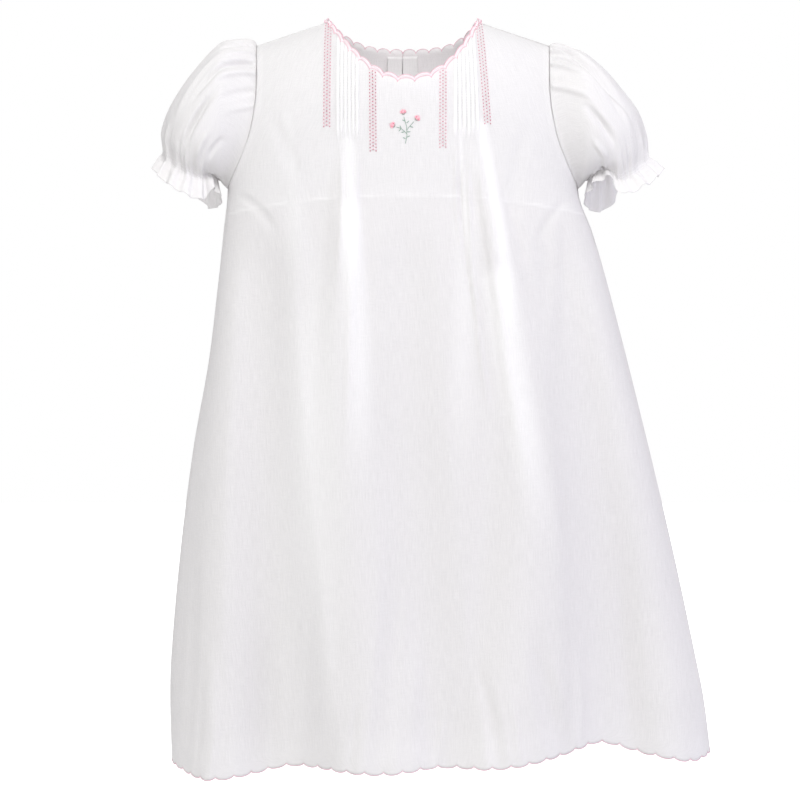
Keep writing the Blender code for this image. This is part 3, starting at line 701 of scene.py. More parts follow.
# %% Where the columns of a panel run
def yoke_place(t, v, side):
    """Where the column t stands at the share v of the way from the top edge to the armpit."""
    half = smooth(ARMHOLE, -SHOULDER_FALL + (ARMPIT_Z + SHOULDER_FALL) * v, "half")
    x0 = t * SHOULDER_HALF
    top = top_z(x0, side)
    x = x0 + (half - SHOULDER_HALF) * np.sign(t) * np.abs(t) ** 4
    z = top + (ARMPIT_Z - top) * v
    if side == FRONT:
        x = x + tuck_shift(x0, z)
    return x, z


def armpit_share(t, side):
    return yoke_place(t, 1.0, side)[0] / form(ARMPIT_Z)[1]


def skirt_place(share, z):
    middle, half, _, _ = form(z)
    return middle + half * share, z


def keep_side(points, panel, z):
    """Keeps a back panel clear of the middle seam."""
    if panel.seam_side:
        middle = form(z)[0]
        clear = panel.seam_side * np.maximum(panel.seam_side * (points[..., 0] - middle), SEAM / 2)
        points[..., 0] = middle + clear
    return points


def even_shares(panel, count):
    """Shares of the half width that stand evenly along the hem's curve, and their shares of its length."""
    share = np.linspace(panel.first, panel.last, 1200)
    steps = distances(body_points(*skirt_place(share, hem_z(share, panel.side)), panel.side))
    even = np.interp(np.linspace(0, steps[-1], count), steps, share)
    return even, np.linspace(0, 1, count)


print("the front's widest place at the hem in mm:", round(float(skirt_place(1.0, HEM_Z)[0]), 1))

# %% Lay out the blocks of a panel
YOKE_ROWS = 42
YOKE_END = -150.0
UNDER_ARM_ROWS = 24
NECK_SCALLOP_FADE = 0.05
SCALLOP_START = 0.975
SCALLOP_ROWS = (0.982, 0.988, 0.994, 1.0)


def yoke_block(panel, columns):
    """Rows from the neck and shoulder to a little below the armpit."""
    t = columns[(columns >= panel.first - 1e-6) & (columns <= panel.last + 1e-6)]
    v = np.linspace(0, 1, YOKE_ROWS)[:, None]
    x, z = yoke_place(t[None, :], v, panel.side)
    z = z + neck_lift(t * SHOULDER_HALF, panel)[None, :] * np.maximum(0.0, 1 - v / NECK_SCALLOP_FADE)
    below = np.linspace(ARMPIT_Z, YOKE_END, UNDER_ARM_ROWS)[1:, None]
    more_x, more_z = skirt_place(armpit_share(t, panel.side)[None, :], below)
    x, z = np.concatenate((x, more_x)), np.concatenate((z, np.broadcast_to(more_z, more_x.shape)))
    lift, layers = (tuck_height(x, z), front_layers_and_light(x, z)) if panel.side == FRONT else (0.0, 0.0)
    points = keep_side(body_points(x, z, panel.side, lift), panel, z)
    return Block(points, armpit_share(t, panel.side), layers)


def hem_dense(z, hem):
    """How far the hem's stitches draw the cloth closer, from 0 well above the hem to 1 at its edge."""
    return ease((hem + HEM_STIFFENED - z) / HEM_STIFFENED)


def skirt_block(panel, count, rows):
    """Rows from the yoke's end down to the scalloped hem."""
    share, by_length = even_shares(panel, count)
    hem = hem_z(share, panel.side)[None, :]
    w = np.concatenate((np.linspace(0, SCALLOP_START, rows), SCALLOP_ROWS))[:, None]
    z = YOKE_END + (hem - YOKE_END) * w
    z = z - hem_rounds(by_length, panel)[None, :] * ease((w - SCALLOP_START) / (1 - SCALLOP_START))
    x, z = skirt_place(share[None, :], z)
    layers = front_layers_and_light(x, z) if panel.side == FRONT else np.zeros_like(x)
    points = keep_side(body_points(x, z, panel.side), panel, z)
    return Block(points, share, layers, hem_dense(z, hem))


print("lowest row of the yoke in mm:", YOKE_END)

# %% Lay out the front and the backs
FRONT_SKIRT_ROWS = 100
BACK_SKIRT_ROWS = 90
COLUMNS_PER_SCALLOP = 8
BACK_COLUMNS = 116


def body_panel(panel, columns, skirt_rows):
    count = round(COLUMNS_PER_SCALLOP * HEM_SCALLOPS * (panel.last - panel.first) / 2) + 1
    yoke = yoke_block(panel, columns)
    skirt = skirt_block(panel, count, skirt_rows)
    skirt = Block(skirt.points[1:], skirt.keys, skirt.layers[1:], skirt.dense[1:])
    piece = sheet_mesh(panel.name, [yoke, skirt], (0, panel.side, 0))
    print(panel.name, "triangles", triangles(piece))
    return piece


plain_columns = np.concatenate((np.linspace(-1, 0, BACK_COLUMNS), np.linspace(0, 1, BACK_COLUMNS)[1:]))
cloth_front = body_panel(PANELS[0], tucked_columns, FRONT_SKIRT_ROWS)
cloth_back_left = body_panel(PANELS[1], plain_columns, BACK_SKIRT_ROWS)
cloth_back_right = body_panel(PANELS[2], plain_columns, BACK_SKIRT_ROWS)

# %% [markdown]
# ## The bodice lining
# A second layer lies behind the yoke. Nobody sees it directly, but the cloth is sheer, so the gown looks
# whiter down to the lining's curved hem and greyer below it. A painted line alone would do for one picture.
# Here a real layer lies behind real sheer cloth, and the front's own share of layers helps it to show.

# %% Lay out the lining
LINING_EASE = 0.15
LINING_EDGE = 2.5
LINING_TURNED = 4.0
LINING_TOP = 0.035
LINING_COLUMNS = 151
LINING_ROWS = 40
LINING_HEM_ROWS = 13
lining_columns = np.linspace(-1, 1, LINING_COLUMNS) * (1 - LINING_EDGE / SHOULDER_HALF)
lining_t = lining_columns[None, :]
lining_x, lining_z = yoke_place(lining_t, np.linspace(LINING_TOP, 1.0, LINING_ROWS)[:, None], FRONT)
towards_hem = np.linspace(0, 1, LINING_HEM_ROWS)[1:, None]
lining_low_z = ARMPIT_Z + (lining_hem(lining_t) - ARMPIT_Z) * towards_hem
below_x, below_z = skirt_place(armpit_share(lining_t, FRONT), lining_low_z)
lining_x = np.concatenate((lining_x, below_x))
lining_z = np.concatenate((lining_z, below_z))
behind_front = -(CLOTH + SEAM + LINING_EASE)
lining_points = body_points(lining_x, lining_z, FRONT, behind_front)
turned_hem = (lining_z - lining_z[-1] < LINING_TURNED).astype(float)
cloth_lining = sheet_mesh("cloth_lining", [Block(lining_points, lining_columns, turned_hem)], (0, FRONT, 0))
print("lining triangles", triangles(cloth_lining))

# %% [markdown]
# ## The back opening
# The gown opens down the middle of its back. Each edge is turned in and faced, and an outer band carries
# the buttons. Both follow the back's own surface, a little outside it or inside it.

# %% Bands along the back opening
PLACKET_FOOT = -196.0
PLACKET_WIDTH = 16.0
PLACKET_THICK = 0.9
PLACKET_CLEAR = 0.7
PLACKET_TOP = float(neck_z(0.0, BACK)) - 1.5
FACING_WIDTH = 10.5
BAND_LAYERS = 0.35
BAND_CLOTH = 0.6
BAND_COLUMNS = 21
BAND_ROWS = 100


def back_band(name, offset, width, lift):
    """A strip that follows the back's middle, moved sideways by offset."""
    across = np.linspace(-0.5, 0.5, BAND_COLUMNS)
    z = np.linspace(PLACKET_TOP, PLACKET_FOOT, BAND_ROWS)[:, None]
    x = form(z)[0] + offset + across[None, :] * width
    points = body_points(x, np.broadcast_to(z, x.shape), BACK, lift)
    piece = sheet_mesh(name, [Block(points, across, BAND_LAYERS)], (0, BACK, 0), BAND_CLOTH)
    print(name, "triangles", triangles(piece))
    return piece


inside_back = -CLOTH - PLACKET_CLEAR
cloth_placket = back_band("cloth_placket", 0.0, PLACKET_WIDTH, PLACKET_CLEAR + PLACKET_THICK)
cloth_facing_left = back_band("cloth_facing_left", -FACING_WIDTH / 2 - SEAM, FACING_WIDTH, inside_back)
cloth_facing_right = back_band("cloth_facing_right", FACING_WIDTH / 2 + SEAM, FACING_WIDTH, inside_back)

# %% [markdown]
# ## Sleeves
# A puffed sleeve is a wide piece gathered into the armhole at its head and into elastic at the cuff, with a
# narrow ruffle below the elastic. Each is a tube of rings. The gathers are waves across the rings: long
# uneven ones at the head, and crisp close ones that grow towards the elastic and open into the ruffle.

# %% Rings of the sleeves
Ring = namedtuple("Ring", "station top_x top_z under_x under_z depth")
SLEEVES = {
    "left": (
        Ring(0, 99.8, -16.0, 119.8, -113.4, 28.0),
        Ring(1, 104.0, -12.6, 120.3, -112.8, 33.0),
        Ring(2, 113.0, -11.8, 121.0, -112.0, 36.5),
        Ring(3, 124.0, -14.5, 121.8, -111.0, 38.5),
        Ring(4, 137.5, -28.0, 122.6, -110.0, 39.0),
        Ring(5, 149.5, -43.5, 123.4, -109.0, 38.0),
        Ring(6, 158.5, -58.5, 124.2, -108.0, 35.5),
        Ring(7, 163.5, -73.0, 125.0, -107.2, 30.0),
        Ring(8, 162.0, -86.5, 126.6, -105.6, 22.5),
        Ring(9, 165.5, -92.0, 125.0, -113.0, 24.5),
        Ring(10, 169.0, -99.0, 123.4, -120.5, 28.0),
    ),
    "right": (
        Ring(0, 99.8, -16.0, 119.8, -113.4, 28.0),
        Ring(1, 105.0, -15.2, 120.3, -112.8, 33.0),
        Ring(2, 113.5, -17.4, 121.0, -112.0, 36.5),
        Ring(3, 124.0, -21.5, 121.8, -111.0, 38.5),
        Ring(4, 138.0, -33.5, 122.6, -110.0, 39.0),
        Ring(5, 149.5, -47.0, 123.4, -109.0, 38.0),
        Ring(6, 159.5, -60.5, 124.2, -108.0, 35.5),
        Ring(7, 165.0, -76.0, 125.0, -107.2, 30.0),
        Ring(8, 166.0, -89.5, 126.6, -105.6, 22.5),
        Ring(9, 171.0, -94.0, 125.0, -113.0, 24.5),
        Ring(10, 176.5, -99.5, 123.4, -120.5, 29.0),
    ),
}

print("rings of each sleeve:", {name: len(rows) for name, rows in SLEEVES.items()})

# %% How the cuffs are raised and curl
# How far a cuff is raised in front and behind, on its outer part and where it curls beside the body
Raise = namedtuple("Raise", "station front_outer front_inner back_outer back_inner")
CUFF_RAISES = {
    "left": (
        Raise(5, 0.0, 0.0, 0.0, 0.0),
        Raise(6, -1.0, 0.0, 0.0, 0.0),
        Raise(7, -4.0, 0.0, 0.5, -1.0),
        Raise(8, -8.0, 1.0, 1.0, -3.0),
        Raise(9, -8.5, 5.0, 1.0, -7.0),
        Raise(10, -9.0, 8.5, 0.0, -11.0),
    ),
    "right": (
        Raise(5, 0.0, 0.0, 0.0, 0.0),
        Raise(6, -1.0, 0.0, 0.0, 0.0),
        Raise(7, -5.0, 0.0, 0.5, -1.0),
        Raise(8, -10.0, 2.0, 1.0, -3.0),
        Raise(9, -10.0, 6.5, 0.0, -8.0),
        Raise(10, -9.0, 11.0, -2.0, -14.0),
    ),
}

# The height across the cuff, from -1 under the arm to 1 on top, where its outer part ends and its curl begins
Curl = namedtuple("Curl", "front_outer front_inner back_outer back_inner")
CUFF_CURLS = {
    "left": Curl(-0.5, -0.88, 0.0, -0.55),
    "right": Curl(0.0, -0.6, 0.1, -0.5),
}
print("highest raise at a cuff's edge:", {name: rows[-1].front_inner for name, rows in CUFF_RAISES.items()})

# %% Creases of the sleeves
# Each runs from one ring and angle to another. 90 is over the top and 180 faces the front.
Pull = namedtuple("Pull", "station angle to_station to_angle width height")
PULLS = {
    "left": (
        Pull(0.0, 104, 3.0, 112, 4.0, 1.1),
        Pull(0.0, 115, 3.8, 124, 4.5, -1.3),
        Pull(0.0, 124, 3.2, 134, 4.0, 1.2),
        Pull(0.0, 137, 5.4, 152, 7.0, -3.6),
        Pull(0.0, 146, 4.2, 158, 5.0, 1.8),
        Pull(0.0, 160, 3.4, 176, 6.0, -1.2),
        Pull(0.0, 172, 3.0, 186, 5.0, 0.9),
        Pull(2.5, 128, 6.5, 140, 9.0, 1.6),
        Pull(2.8, 165, 7.4, 176, 10.0, -4.2),
        Pull(3.4, 192, 7.6, 198, 9.0, 1.5),
        Pull(2.0, 205, 6.0, 214, 8.0, -1.4),
        Pull(0.0, 74, 3.0, 66, 4.0, 1.0),
        Pull(0.0, 60, 3.6, 50, 5.0, -1.2),
        Pull(0.0, 44, 4.4, 34, 5.0, 1.3),
        Pull(0.0, 26, 3.6, 14, 6.0, -1.3),
        Pull(2.8, 20, 7.0, 10, 9.0, 1.5),
        Pull(2.6, -14, 7.2, -22, 10.0, -1.6),
    ),
    "right": (
        Pull(0.0, 102, 2.8, 108, 3.6, 1.7),
        Pull(0.0, 111, 3.4, 118, 4.0, -1.9),
        Pull(0.0, 119, 2.8, 126, 3.6, 1.9),
        Pull(0.0, 128, 3.8, 137, 4.4, -1.8),
        Pull(0.0, 136, 3.2, 144, 4.0, 1.7),
        Pull(0.8, 112, 5.8, 150, 15.0, -5.5),
        Pull(0.0, 156, 4.6, 168, 7.0, 1.9),
        Pull(2.2, 174, 6.8, 184, 10.0, -3.6),
        Pull(3.0, 140, 7.2, 152, 9.0, 1.6),
        Pull(3.2, 200, 7.4, 206, 9.0, 1.5),
        Pull(0.0, 76, 2.8, 70, 4.0, 1.1),
        Pull(0.0, 62, 3.2, 54, 5.0, -1.3),
        Pull(0.0, 46, 4.0, 38, 5.0, 1.2),
        Pull(0.0, 28, 3.8, 18, 6.0, -1.4),
        Pull(2.6, 22, 6.8, 14, 9.0, 1.5),
        Pull(2.8, -10, 7.0, -20, 10.0, -1.6),
    ),
}
PULL_NARROW = 0.55
PULL_RISE_AT_SEAM = 0.12
PULL_RISE = 0.4
PULL_FALL = 0.5
print("creases on the sleeves:", {name: len(rows) for name, rows in PULLS.items()})

# %% A sleeve's form with no gathers
ELASTIC = 8.0
CUFF_EDGE = 10.0
TURNED_BY = 3.2


def armhole_points(angle):
    """The armhole's edge by the angle round the arm: 90 at the shoulder, 180 in front, 270 under the arm."""
    share = (1 - np.sin(np.radians(angle))) / 2
    z = -SHOULDER_FALL + (ARMPIT_Z + SHOULDER_FALL) * share
    x = smooth(ARMHOLE, z, "half")
    y = np.where(np.cos(np.radians(angle)) < 0, -depth(x, z, FRONT), depth(x, z, BACK))
    return x, y, z


def cuff_raise(side, station, level, half):
    """How far a sleeve's front or back is raised at heights across it."""
    raises, curl = CUFF_RAISES[side], CUFF_CURLS[side]
    outer, inner = getattr(curl, half + "_outer"), getattr(curl, half + "_inner")
    curled = ease((outer - level) / (outer - inner))
    low, high = smooth(raises, station, half + "_inner"), smooth(raises, station, half + "_outer")
    return high + (low - high) * curled


def sleeve_base(side, station, angle):
    """Points of a sleeve's outside with no gathers, for a sleeve on the +X side."""
    rings = SLEEVES[side]
    station, angle = np.broadcast_arrays(np.asarray(station, float), np.asarray(angle, float))
    top = np.stack([smooth(rings, station, "top_x"), smooth(rings, station, "top_z")], -1)
    under = np.stack([smooth(rings, station, "under_x"), smooth(rings, station, "under_z")], -1)
    up = (top - under) / 2
    out = np.stack([up[..., 1], -up[..., 0]], -1)
    out /= np.linalg.norm(out, axis=-1, keepdims=True)
    level = np.sin(np.radians(angle))
    front = np.cos(np.radians(angle))
    x, y, z = armhole_points(angle)
    start_top = np.array((rings[0].top_x, rings[0].top_z))
    start_under = np.array((rings[0].under_x, rings[0].under_z))
    start_up = (start_top - start_under) / 2
    start_out = np.array((start_up[1], -start_up[0])) / np.linalg.norm(start_up)
    armhole = np.stack([x, z], -1) - (start_top + start_under) / 2 - start_up * level[..., None]
    hollow = armhole @ start_out + SEAM
    turned = ease(station / TURNED_BY)
    flat = (top + under) / 2 + up * level[..., None] + out * (hollow * (1 - turned))[..., None]
    y = y * (1 - turned) + front * smooth(rings, station, "depth") * turned
    front_raise = cuff_raise(side, station, level, "front")
    back_raise = cuff_raise(side, station, level, "back")
    raised = np.where(front < 0, front_raise, back_raise)
    return np.stack((flat[..., 0], y, flat[..., 1] + np.abs(front) * raised), -1)


print("front of the right cuff's elastic:", np.round(sleeve_base("right", ELASTIC, 180.0), 1))

# %% Gathers of the head, the elastic and the ruffle
CAP_GATHERS = 16
CAP_SPREAD = 78.0
CAP_HEIGHT = 1.7
CAP_LENGTH = 2.6
CUFF_GATHERS = 14
CUFF_GATHER_HEIGHT = 1.3
CUFF_GATHER_START = 6.0
RUFFLE_HEIGHT = 2.6
UNDER_ARM_SPREAD = 45.0
UNDER_ARM_FLAT = 0.7

# Puckers in the elastic: waves round the cuff, whose spacing sways sway_waves times
Pucker = namedtuple("Pucker", "waves sway sway_waves start height")
PUCKERS = (Pucker(31, 1.3, 4, 0.0, 1.0), Pucker(47, 2.1, 3, 1.0, 0.6))
PUCKER_HEIGHT = 0.42
PUCKER_REACH = 2.2
PUCKER_LOSS = 0.75
PUCKER_LOSS_BY = 1.6


def head_gathers(station, angle):
    """The gathers where the sleeve's head meets the armhole, uneven in height and spacing."""
    off = angle - 90
    turn = off / CAP_SPREAD * CAP_GATHERS / 2
    uneven = 0.75 + 0.25 * np.cos(2.3 * turn)
    fade = np.clip(1 - station / CAP_LENGTH, 0, 1) * ease((1 - np.abs(off) / CAP_SPREAD) * 4)
    waves = 0.5 * (1 + np.cos(2 * np.pi * (turn + 0.12 * np.sin(1.7 * turn))))
    return CAP_HEIGHT * uneven * fade * ease(0.25 + station) * waves


def cuff_gathers(station, angle):
    """The gathers above the elastic and the waves of the ruffle below it."""
    turn = np.radians(angle)
    wave = np.cos(CUFF_GATHERS * turn) * (0.8 + 0.2 * np.cos(3 * turn))
    wave = wave * (1 - UNDER_ARM_FLAT * bump((angle % 360 - 270) / UNDER_ARM_SPREAD))
    above = CUFF_GATHER_HEIGHT * ease((station - CUFF_GATHER_START) / (ELASTIC - CUFF_GATHER_START))
    below = (station - ELASTIC) / (CUFF_EDGE - ELASTIC)
    below = CUFF_GATHER_HEIGHT + (RUFFLE_HEIGHT - CUFF_GATHER_HEIGHT) * below
    return np.where(station < ELASTIC, above, below) * wave


def fine_gathers(station, angle):
    """Close, uneven puckers that the elastic draws in, and their ends in the ruffle."""
    turn = np.radians(angle)
    waves = sum(
        row.height * np.sin(row.waves * turn + row.sway * np.sin(row.sway_waves * turn) + row.start)
        for row in PUCKERS
    )
    reach = PUCKER_REACH + 0.7 * np.sin(5 * turn + 0.6) + 0.5 * np.sin(9 * turn)
    above = ease(1 - (ELASTIC - station) / reach)
    below = 1 - PUCKER_LOSS * ease((station - ELASTIC) / PUCKER_LOSS_BY)
    return PUCKER_HEIGHT * waves * np.where(station < ELASTIC, above, below)


def pull_height(pulls, station, angle):
    """How far the creases lift a sleeve's cloth."""
    lift = np.zeros(np.broadcast(station, angle).shape)
    for pull in pulls:
        along = (station - pull.station) / (pull.to_station - pull.station)
        inside = np.clip(along, 0, 1)
        middle = pull.angle + (pull.to_angle - pull.angle) * inside
        width = pull.width * (PULL_NARROW + (1 - PULL_NARROW) * inside)
        off = (angle - middle + 180) % 360 - 180
        start = ease(along / (PULL_RISE_AT_SEAM if pull.station == 0 else PULL_RISE))
        lift += pull.height * start * ease((1 - along) / PULL_FALL) * bump(off / width)
    return lift


def sleeve_points(side, station, angle, shift=0.0):
    """Points of a sleeve's outside in millimetres, with its gathers and creases."""
    step = 0.02
    here = sleeve_base(side, station, angle)
    ahead = sleeve_base(side, np.minimum(station + step, CUFF_EDGE), angle)
    ahead = ahead - sleeve_base(side, np.maximum(station - step, 0), angle)
    around = sleeve_base(side, station, angle + 1) - sleeve_base(side, station, angle - 1)
    normal = np.cross(around, ahead)
    normal /= np.linalg.norm(normal, axis=-1, keepdims=True)
    middle = (sleeve_base(side, station, 90) + sleeve_base(side, station, 270)) / 2
    normal *= np.sign(np.sum(normal * (here - middle), -1, keepdims=True))
    height = head_gathers(station, angle) + cuff_gathers(station, angle) + fine_gathers(station, angle)
    height = height + pull_height(PULLS[side], station, angle) + shift
    points = here + normal * height[..., None]
    points[..., 0] *= -1 if side == "left" else 1
    return points


print("a pucker at the elastic in mm:", round(float(fine_gathers(ELASTIC, 10.0)), 2))

# %% Lay out both sleeves
SLEEVE_COLUMNS = 264
Rows = namedtuple("Rows", "first last count")
SLEEVE_ROWS = (Rows(0, 2, 22), Rows(2, 6, 24), Rows(6, CUFF_EDGE, 44))
sleeve_stations = np.unique(np.concatenate([np.linspace(*rows) for rows in SLEEVE_ROWS]))


def tube_mesh(name, points):
    """A closed tube of rings of points, with its UV seam at the first column."""
    rings, columns = points.shape[:2]
    looped = np.concatenate((points, points[:, :1]), 1)
    across, down = lengths(looped, 1), lengths(looped, 0)
    numbers = np.arange(rings * columns).reshape(rings, columns)
    following = np.roll(numbers, -1, 1)
    faces = np.stack((numbers[:-1], numbers[1:], following[1:], following[:-1]), -1).reshape(-1, 4)
    uv = np.stack((across, down), -1)
    loop_uvs = np.stack((uv[:-1, :-1], uv[1:, :-1], uv[1:, 1:], uv[:-1, 1:]), 2).reshape(-1, 2) * MM
    mesh = bpy.data.meshes.new(name)
    mesh.from_pydata((points.reshape(-1, 3) * MM).tolist(), [], faces.tolist())
    mesh.uv_layers.new(name="cloth").uv.foreach_set("vector", loop_uvs.astype(np.float32).ravel())
    face = mesh.polygons[columns // 2]
    away = face.center - Vector(points[0].mean(0) * MM)
    return thicken(mesh, face.normal.dot(away) < 0, SHEET_THICK)


def make_sleeve(side):
    angles = (np.arange(SLEEVE_COLUMNS) * 360 / SLEEVE_COLUMNS - 90)[None, :]
    points = sleeve_points(side, sleeve_stations[:, None], angles)
    piece = tube_mesh("cloth_sleeve_" + side, points)
    print(piece.name, "triangles", triangles(piece))
    return piece


cloth_sleeve_left = make_sleeve("left")
cloth_sleeve_right = make_sleeve("right")

# %% [markdown]
# ## A small way to write shader maths
# Every finish below is a formula over the cloth's UV map. Wired by hand each formula is a tangle of Math
# nodes, so one small class wraps a socket and turns sums into nodes. One function adds any other node.

# %% Node helpers
class Value:
    """A socket in a node tree that sums can be written with."""

    def __init__(self, tree, socket):
        self.tree = tree
        self.socket = socket

    def maths(self, operation, first, second=None):
        inputs = {0: first} if second is None else {0: first, 1: second}
        return put(self.tree, "ShaderNodeMath", {"operation": operation}, inputs)

    def __add__(self, other):
        return self.maths("ADD", self, other)

    def __sub__(self, other):
        return self.maths("SUBTRACT", self, other)

    def __rsub__(self, other):
        return self.maths("SUBTRACT", other, self)

    def __mul__(self, other):
        return self.maths("MULTIPLY", self, other)

    def sine(self):
        return self.maths("SINE", self)

    __radd__ = __add__
    __rmul__ = __mul__


def put(tree, kind, settings=None, inputs=None, output=0):
    """Adds a node, with its settings first and then the values or links of its inputs. Gives one output."""
    node = tree.nodes.new(kind)
    for name, value in (settings or {}).items():
        setattr(node, name, value)
    for name, value in (inputs or {}).items():
        if isinstance(value, Value):
            tree.links.new(value.socket, node.inputs[name])
        else:
            node.inputs[name].default_value = value
    return Value(tree, node.outputs[output]) if node.outputs else None


def new_material(name):
    material = bpy.data.materials.new(name)
    material.use_nodes = True
    material.node_tree.nodes.clear()
    return material, material.node_tree


def mix_colours(tree, share, first, second):
    """A colour between two others by a share from 0 to 1."""
    node = put(tree, "ShaderNodeMix", {"data_type": "RGBA"}).socket.node
    sockets = [node.inputs[0]] + [socket for socket in node.inputs if socket.type == "RGBA"]
    for socket, value in zip(sockets, (share, first, second)):
        if isinstance(value, Value):
            tree.links.new(value.socket, socket)
        else:
            socket.default_value = value
    return Value(tree, next(socket for socket in node.outputs if socket.type == "RGBA"))


print("what a socket can do:", [name for name in vars(Value) if callable(getattr(Value, name))])

# %% [markdown]
# ## Batiste
# Batiste is a fine plain weave of threads about a quarter of a millimetre apart. Its threads aren't even:
# thicker stretches, called slubs, show as faint streaks along the warp and across it. Light also comes
# through it, so the shader lets a little of what is behind show, and less of it where a slub lies.

# %% The cloth's material
THREAD_PITCH = 0.00028
Streak = namedtuple("Streak", "across along seed")
WARP_SLUBS = Streak(0.0006, 0.011, 3.1)
WEFT_SLUBS = Streak(0.007, 0.0006, 7.7)
CLOUDS = Streak(0.060, 0.090, 1.4)
DARKER = 0.90
TOWARDS_WHITE = 0.25
FULL_COVER = 0.97


def streaks(tree, uv, streak):
    """Noise whose patches have a size across and along the cloth in metres."""
    scale = (1 / streak.across, 1 / streak.along, 1.0)
    scaled = put(tree, "ShaderNodeVectorMath", {"operation": "MULTIPLY"}, {0: uv, 1: scale})
    shift = (streak.seed, streak.seed * 2.3, 0.0)
    moved = put(tree, "ShaderNodeVectorMath", {"operation": "ADD"}, {0: scaled, 1: shift})
    return put(tree, "ShaderNodeTexNoise", {"noise_dimensions": "2D"},
               {"Vector": moved, "Scale": 1.0, "Detail": 2.0, "Roughness": 0.5})


def batiste(name, colour, cover, glow):
    """Sheer cloth. One layer hides the share cover of what is behind it, and glow is light let through."""
    material, tree = new_material(name)
    # The layers attribute makes the cloth whiter and fuller where it lies in layers, and also paints the
    # broad band of light on the skirt
    layers = put(tree, "ShaderNodeAttribute", {"attribute_name": "layers"}, None, "Fac")
    dense = put(tree, "ShaderNodeAttribute", {"attribute_name": "dense"}, None, "Fac")
    uv = put(tree, "ShaderNodeUVMap", {"uv_map": "cloth"})
    split = put(tree, "ShaderNodeSeparateXYZ", None, {0: uv}).socket.node
    u, v = Value(tree, split.outputs[0]), Value(tree, split.outputs[1])
    warp_slubs, weft_slubs, cloud = (streaks(tree, uv, streak) for streak in (WARP_SLUBS, WEFT_SLUBS, CLOUDS))
    slubs = (warp_slubs - 0.5) * 0.34 + (weft_slubs - 0.5) * 0.18
    turn = 2 * math.pi / THREAD_PITCH
    weave = (u * turn).sine() * (v * turn).sine() * 0.5 + 0.5
    darker = tuple(c * DARKER for c in colour)
    whiter = tuple(1 - (1 - c) * TOWARDS_WHITE for c in colour)
    share = slubs * 0.9 + (cloud - 0.5) * 0.3 + weave * 0.25 + 0.45
    share.socket.node.use_clamp = True
    single = mix_colours(tree, share, (*darker, 1), (*colour, 1))
    tint = mix_colours(tree, layers, single, (*whiter, 1))
    height = weave * 0.35 + slubs * 0.5
    bump_node = put(tree, "ShaderNodeBump", None, {"Strength": 0.35, "Distance": 0.00012, "Height": height})
    front = put(tree, "ShaderNodeBsdfPrincipled", None,
                {"Base Color": tint, "Roughness": 0.86, "Normal": bump_node, "Specular IOR Level": 0.25})
    through = put(tree, "ShaderNodeBsdfTranslucent", None, {"Color": (*colour, 1)})
    body = put(tree, "ShaderNodeMixShader", None, {0: glow, 1: front, 2: through})
    clear = put(tree, "ShaderNodeBsdfTransparent")
    solid = slubs * 0.30 + (weave - 0.5) * 0.10 + (layers + dense) * (FULL_COVER - cover) + cover
    solid.socket.node.use_clamp = True
    surface = put(tree, "ShaderNodeMixShader", None, {0: solid, 1: clear, 2: body})
    put(tree, "ShaderNodeOutputMaterial", None, {"Surface": surface})
    return material


BATISTE_WHITE = (0.905, 0.893, 0.895)
# Painted shade: the back and the facings are the same white batiste as the front, and their darker, pinker
# colours paint the shade inside the gown
BACK_WHITE_PAINTED_SHADE = (0.875, 0.84, 0.85)
FACING_WHITE_PAINTED_SHADE = (0.86, 0.825, 0.832)
front_batiste = batiste("front_batiste", BATISTE_WHITE, cover=0.80, glow=0.22)
lining_batiste = batiste("lining_batiste", BATISTE_WHITE, cover=0.90, glow=0.22)
sleeve_batiste = batiste("sleeve_batiste", BATISTE_WHITE, cover=0.86, glow=0.22)
back_batiste_painted_shade = batiste("back_batiste_painted_shade", BACK_WHITE_PAINTED_SHADE, cover=FULL_COVER, glow=0.02)
facing_batiste_painted_shade = batiste("facing_batiste_painted_shade", FACING_WHITE_PAINTED_SHADE, cover=FULL_COVER, glow=0.04)
print("cloth materials:", [item.name for item in bpy.data.materials if "batiste" in item.name])

# %% Dress the cloth pieces
def dress(piece, finish, slot, *nodes):
    """Gives a piece its finish and its place on the frame."""
    piece.data.materials.clear()
    piece.data.materials.append(finish)
    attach(piece, "root")
    if nodes:
        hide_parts(*nodes)


dress(cloth_front, front_batiste, "cloth", "front_panel")
dress(cloth_back_left, back_batiste_painted_shade, "cloth", "back_panel_left")
dress(cloth_back_right, back_batiste_painted_shade, "cloth", "back_panel_right")
dress(cloth_lining, lining_batiste, "cloth", "bodice_lining")
dress(cloth_sleeve_left, sleeve_batiste, "cloth", "sleeve_left")
dress(cloth_sleeve_right, sleeve_batiste, "cloth", "sleeve_right")
dress(cloth_placket, facing_batiste_painted_shade, "cloth", "back_placket")
dress(cloth_facing_left, facing_batiste_painted_shade, "cloth", "facing_left")
dress(cloth_facing_right, facing_batiste_painted_shade, "cloth", "facing_right")

# %% [markdown]
# ## One tree for every stitch
# Embroidery, openwork and seams are all short lengths of thread lying on cloth. Each could be a curve of its
# own, but there are thousands, so each is one point that knows which way it runs, which way is out of the
# cloth, its size and its dye. One Geometry Nodes tree puts a small rounded thread on every point, and makes
# each a little larger or smaller, because hand work is never quite even.

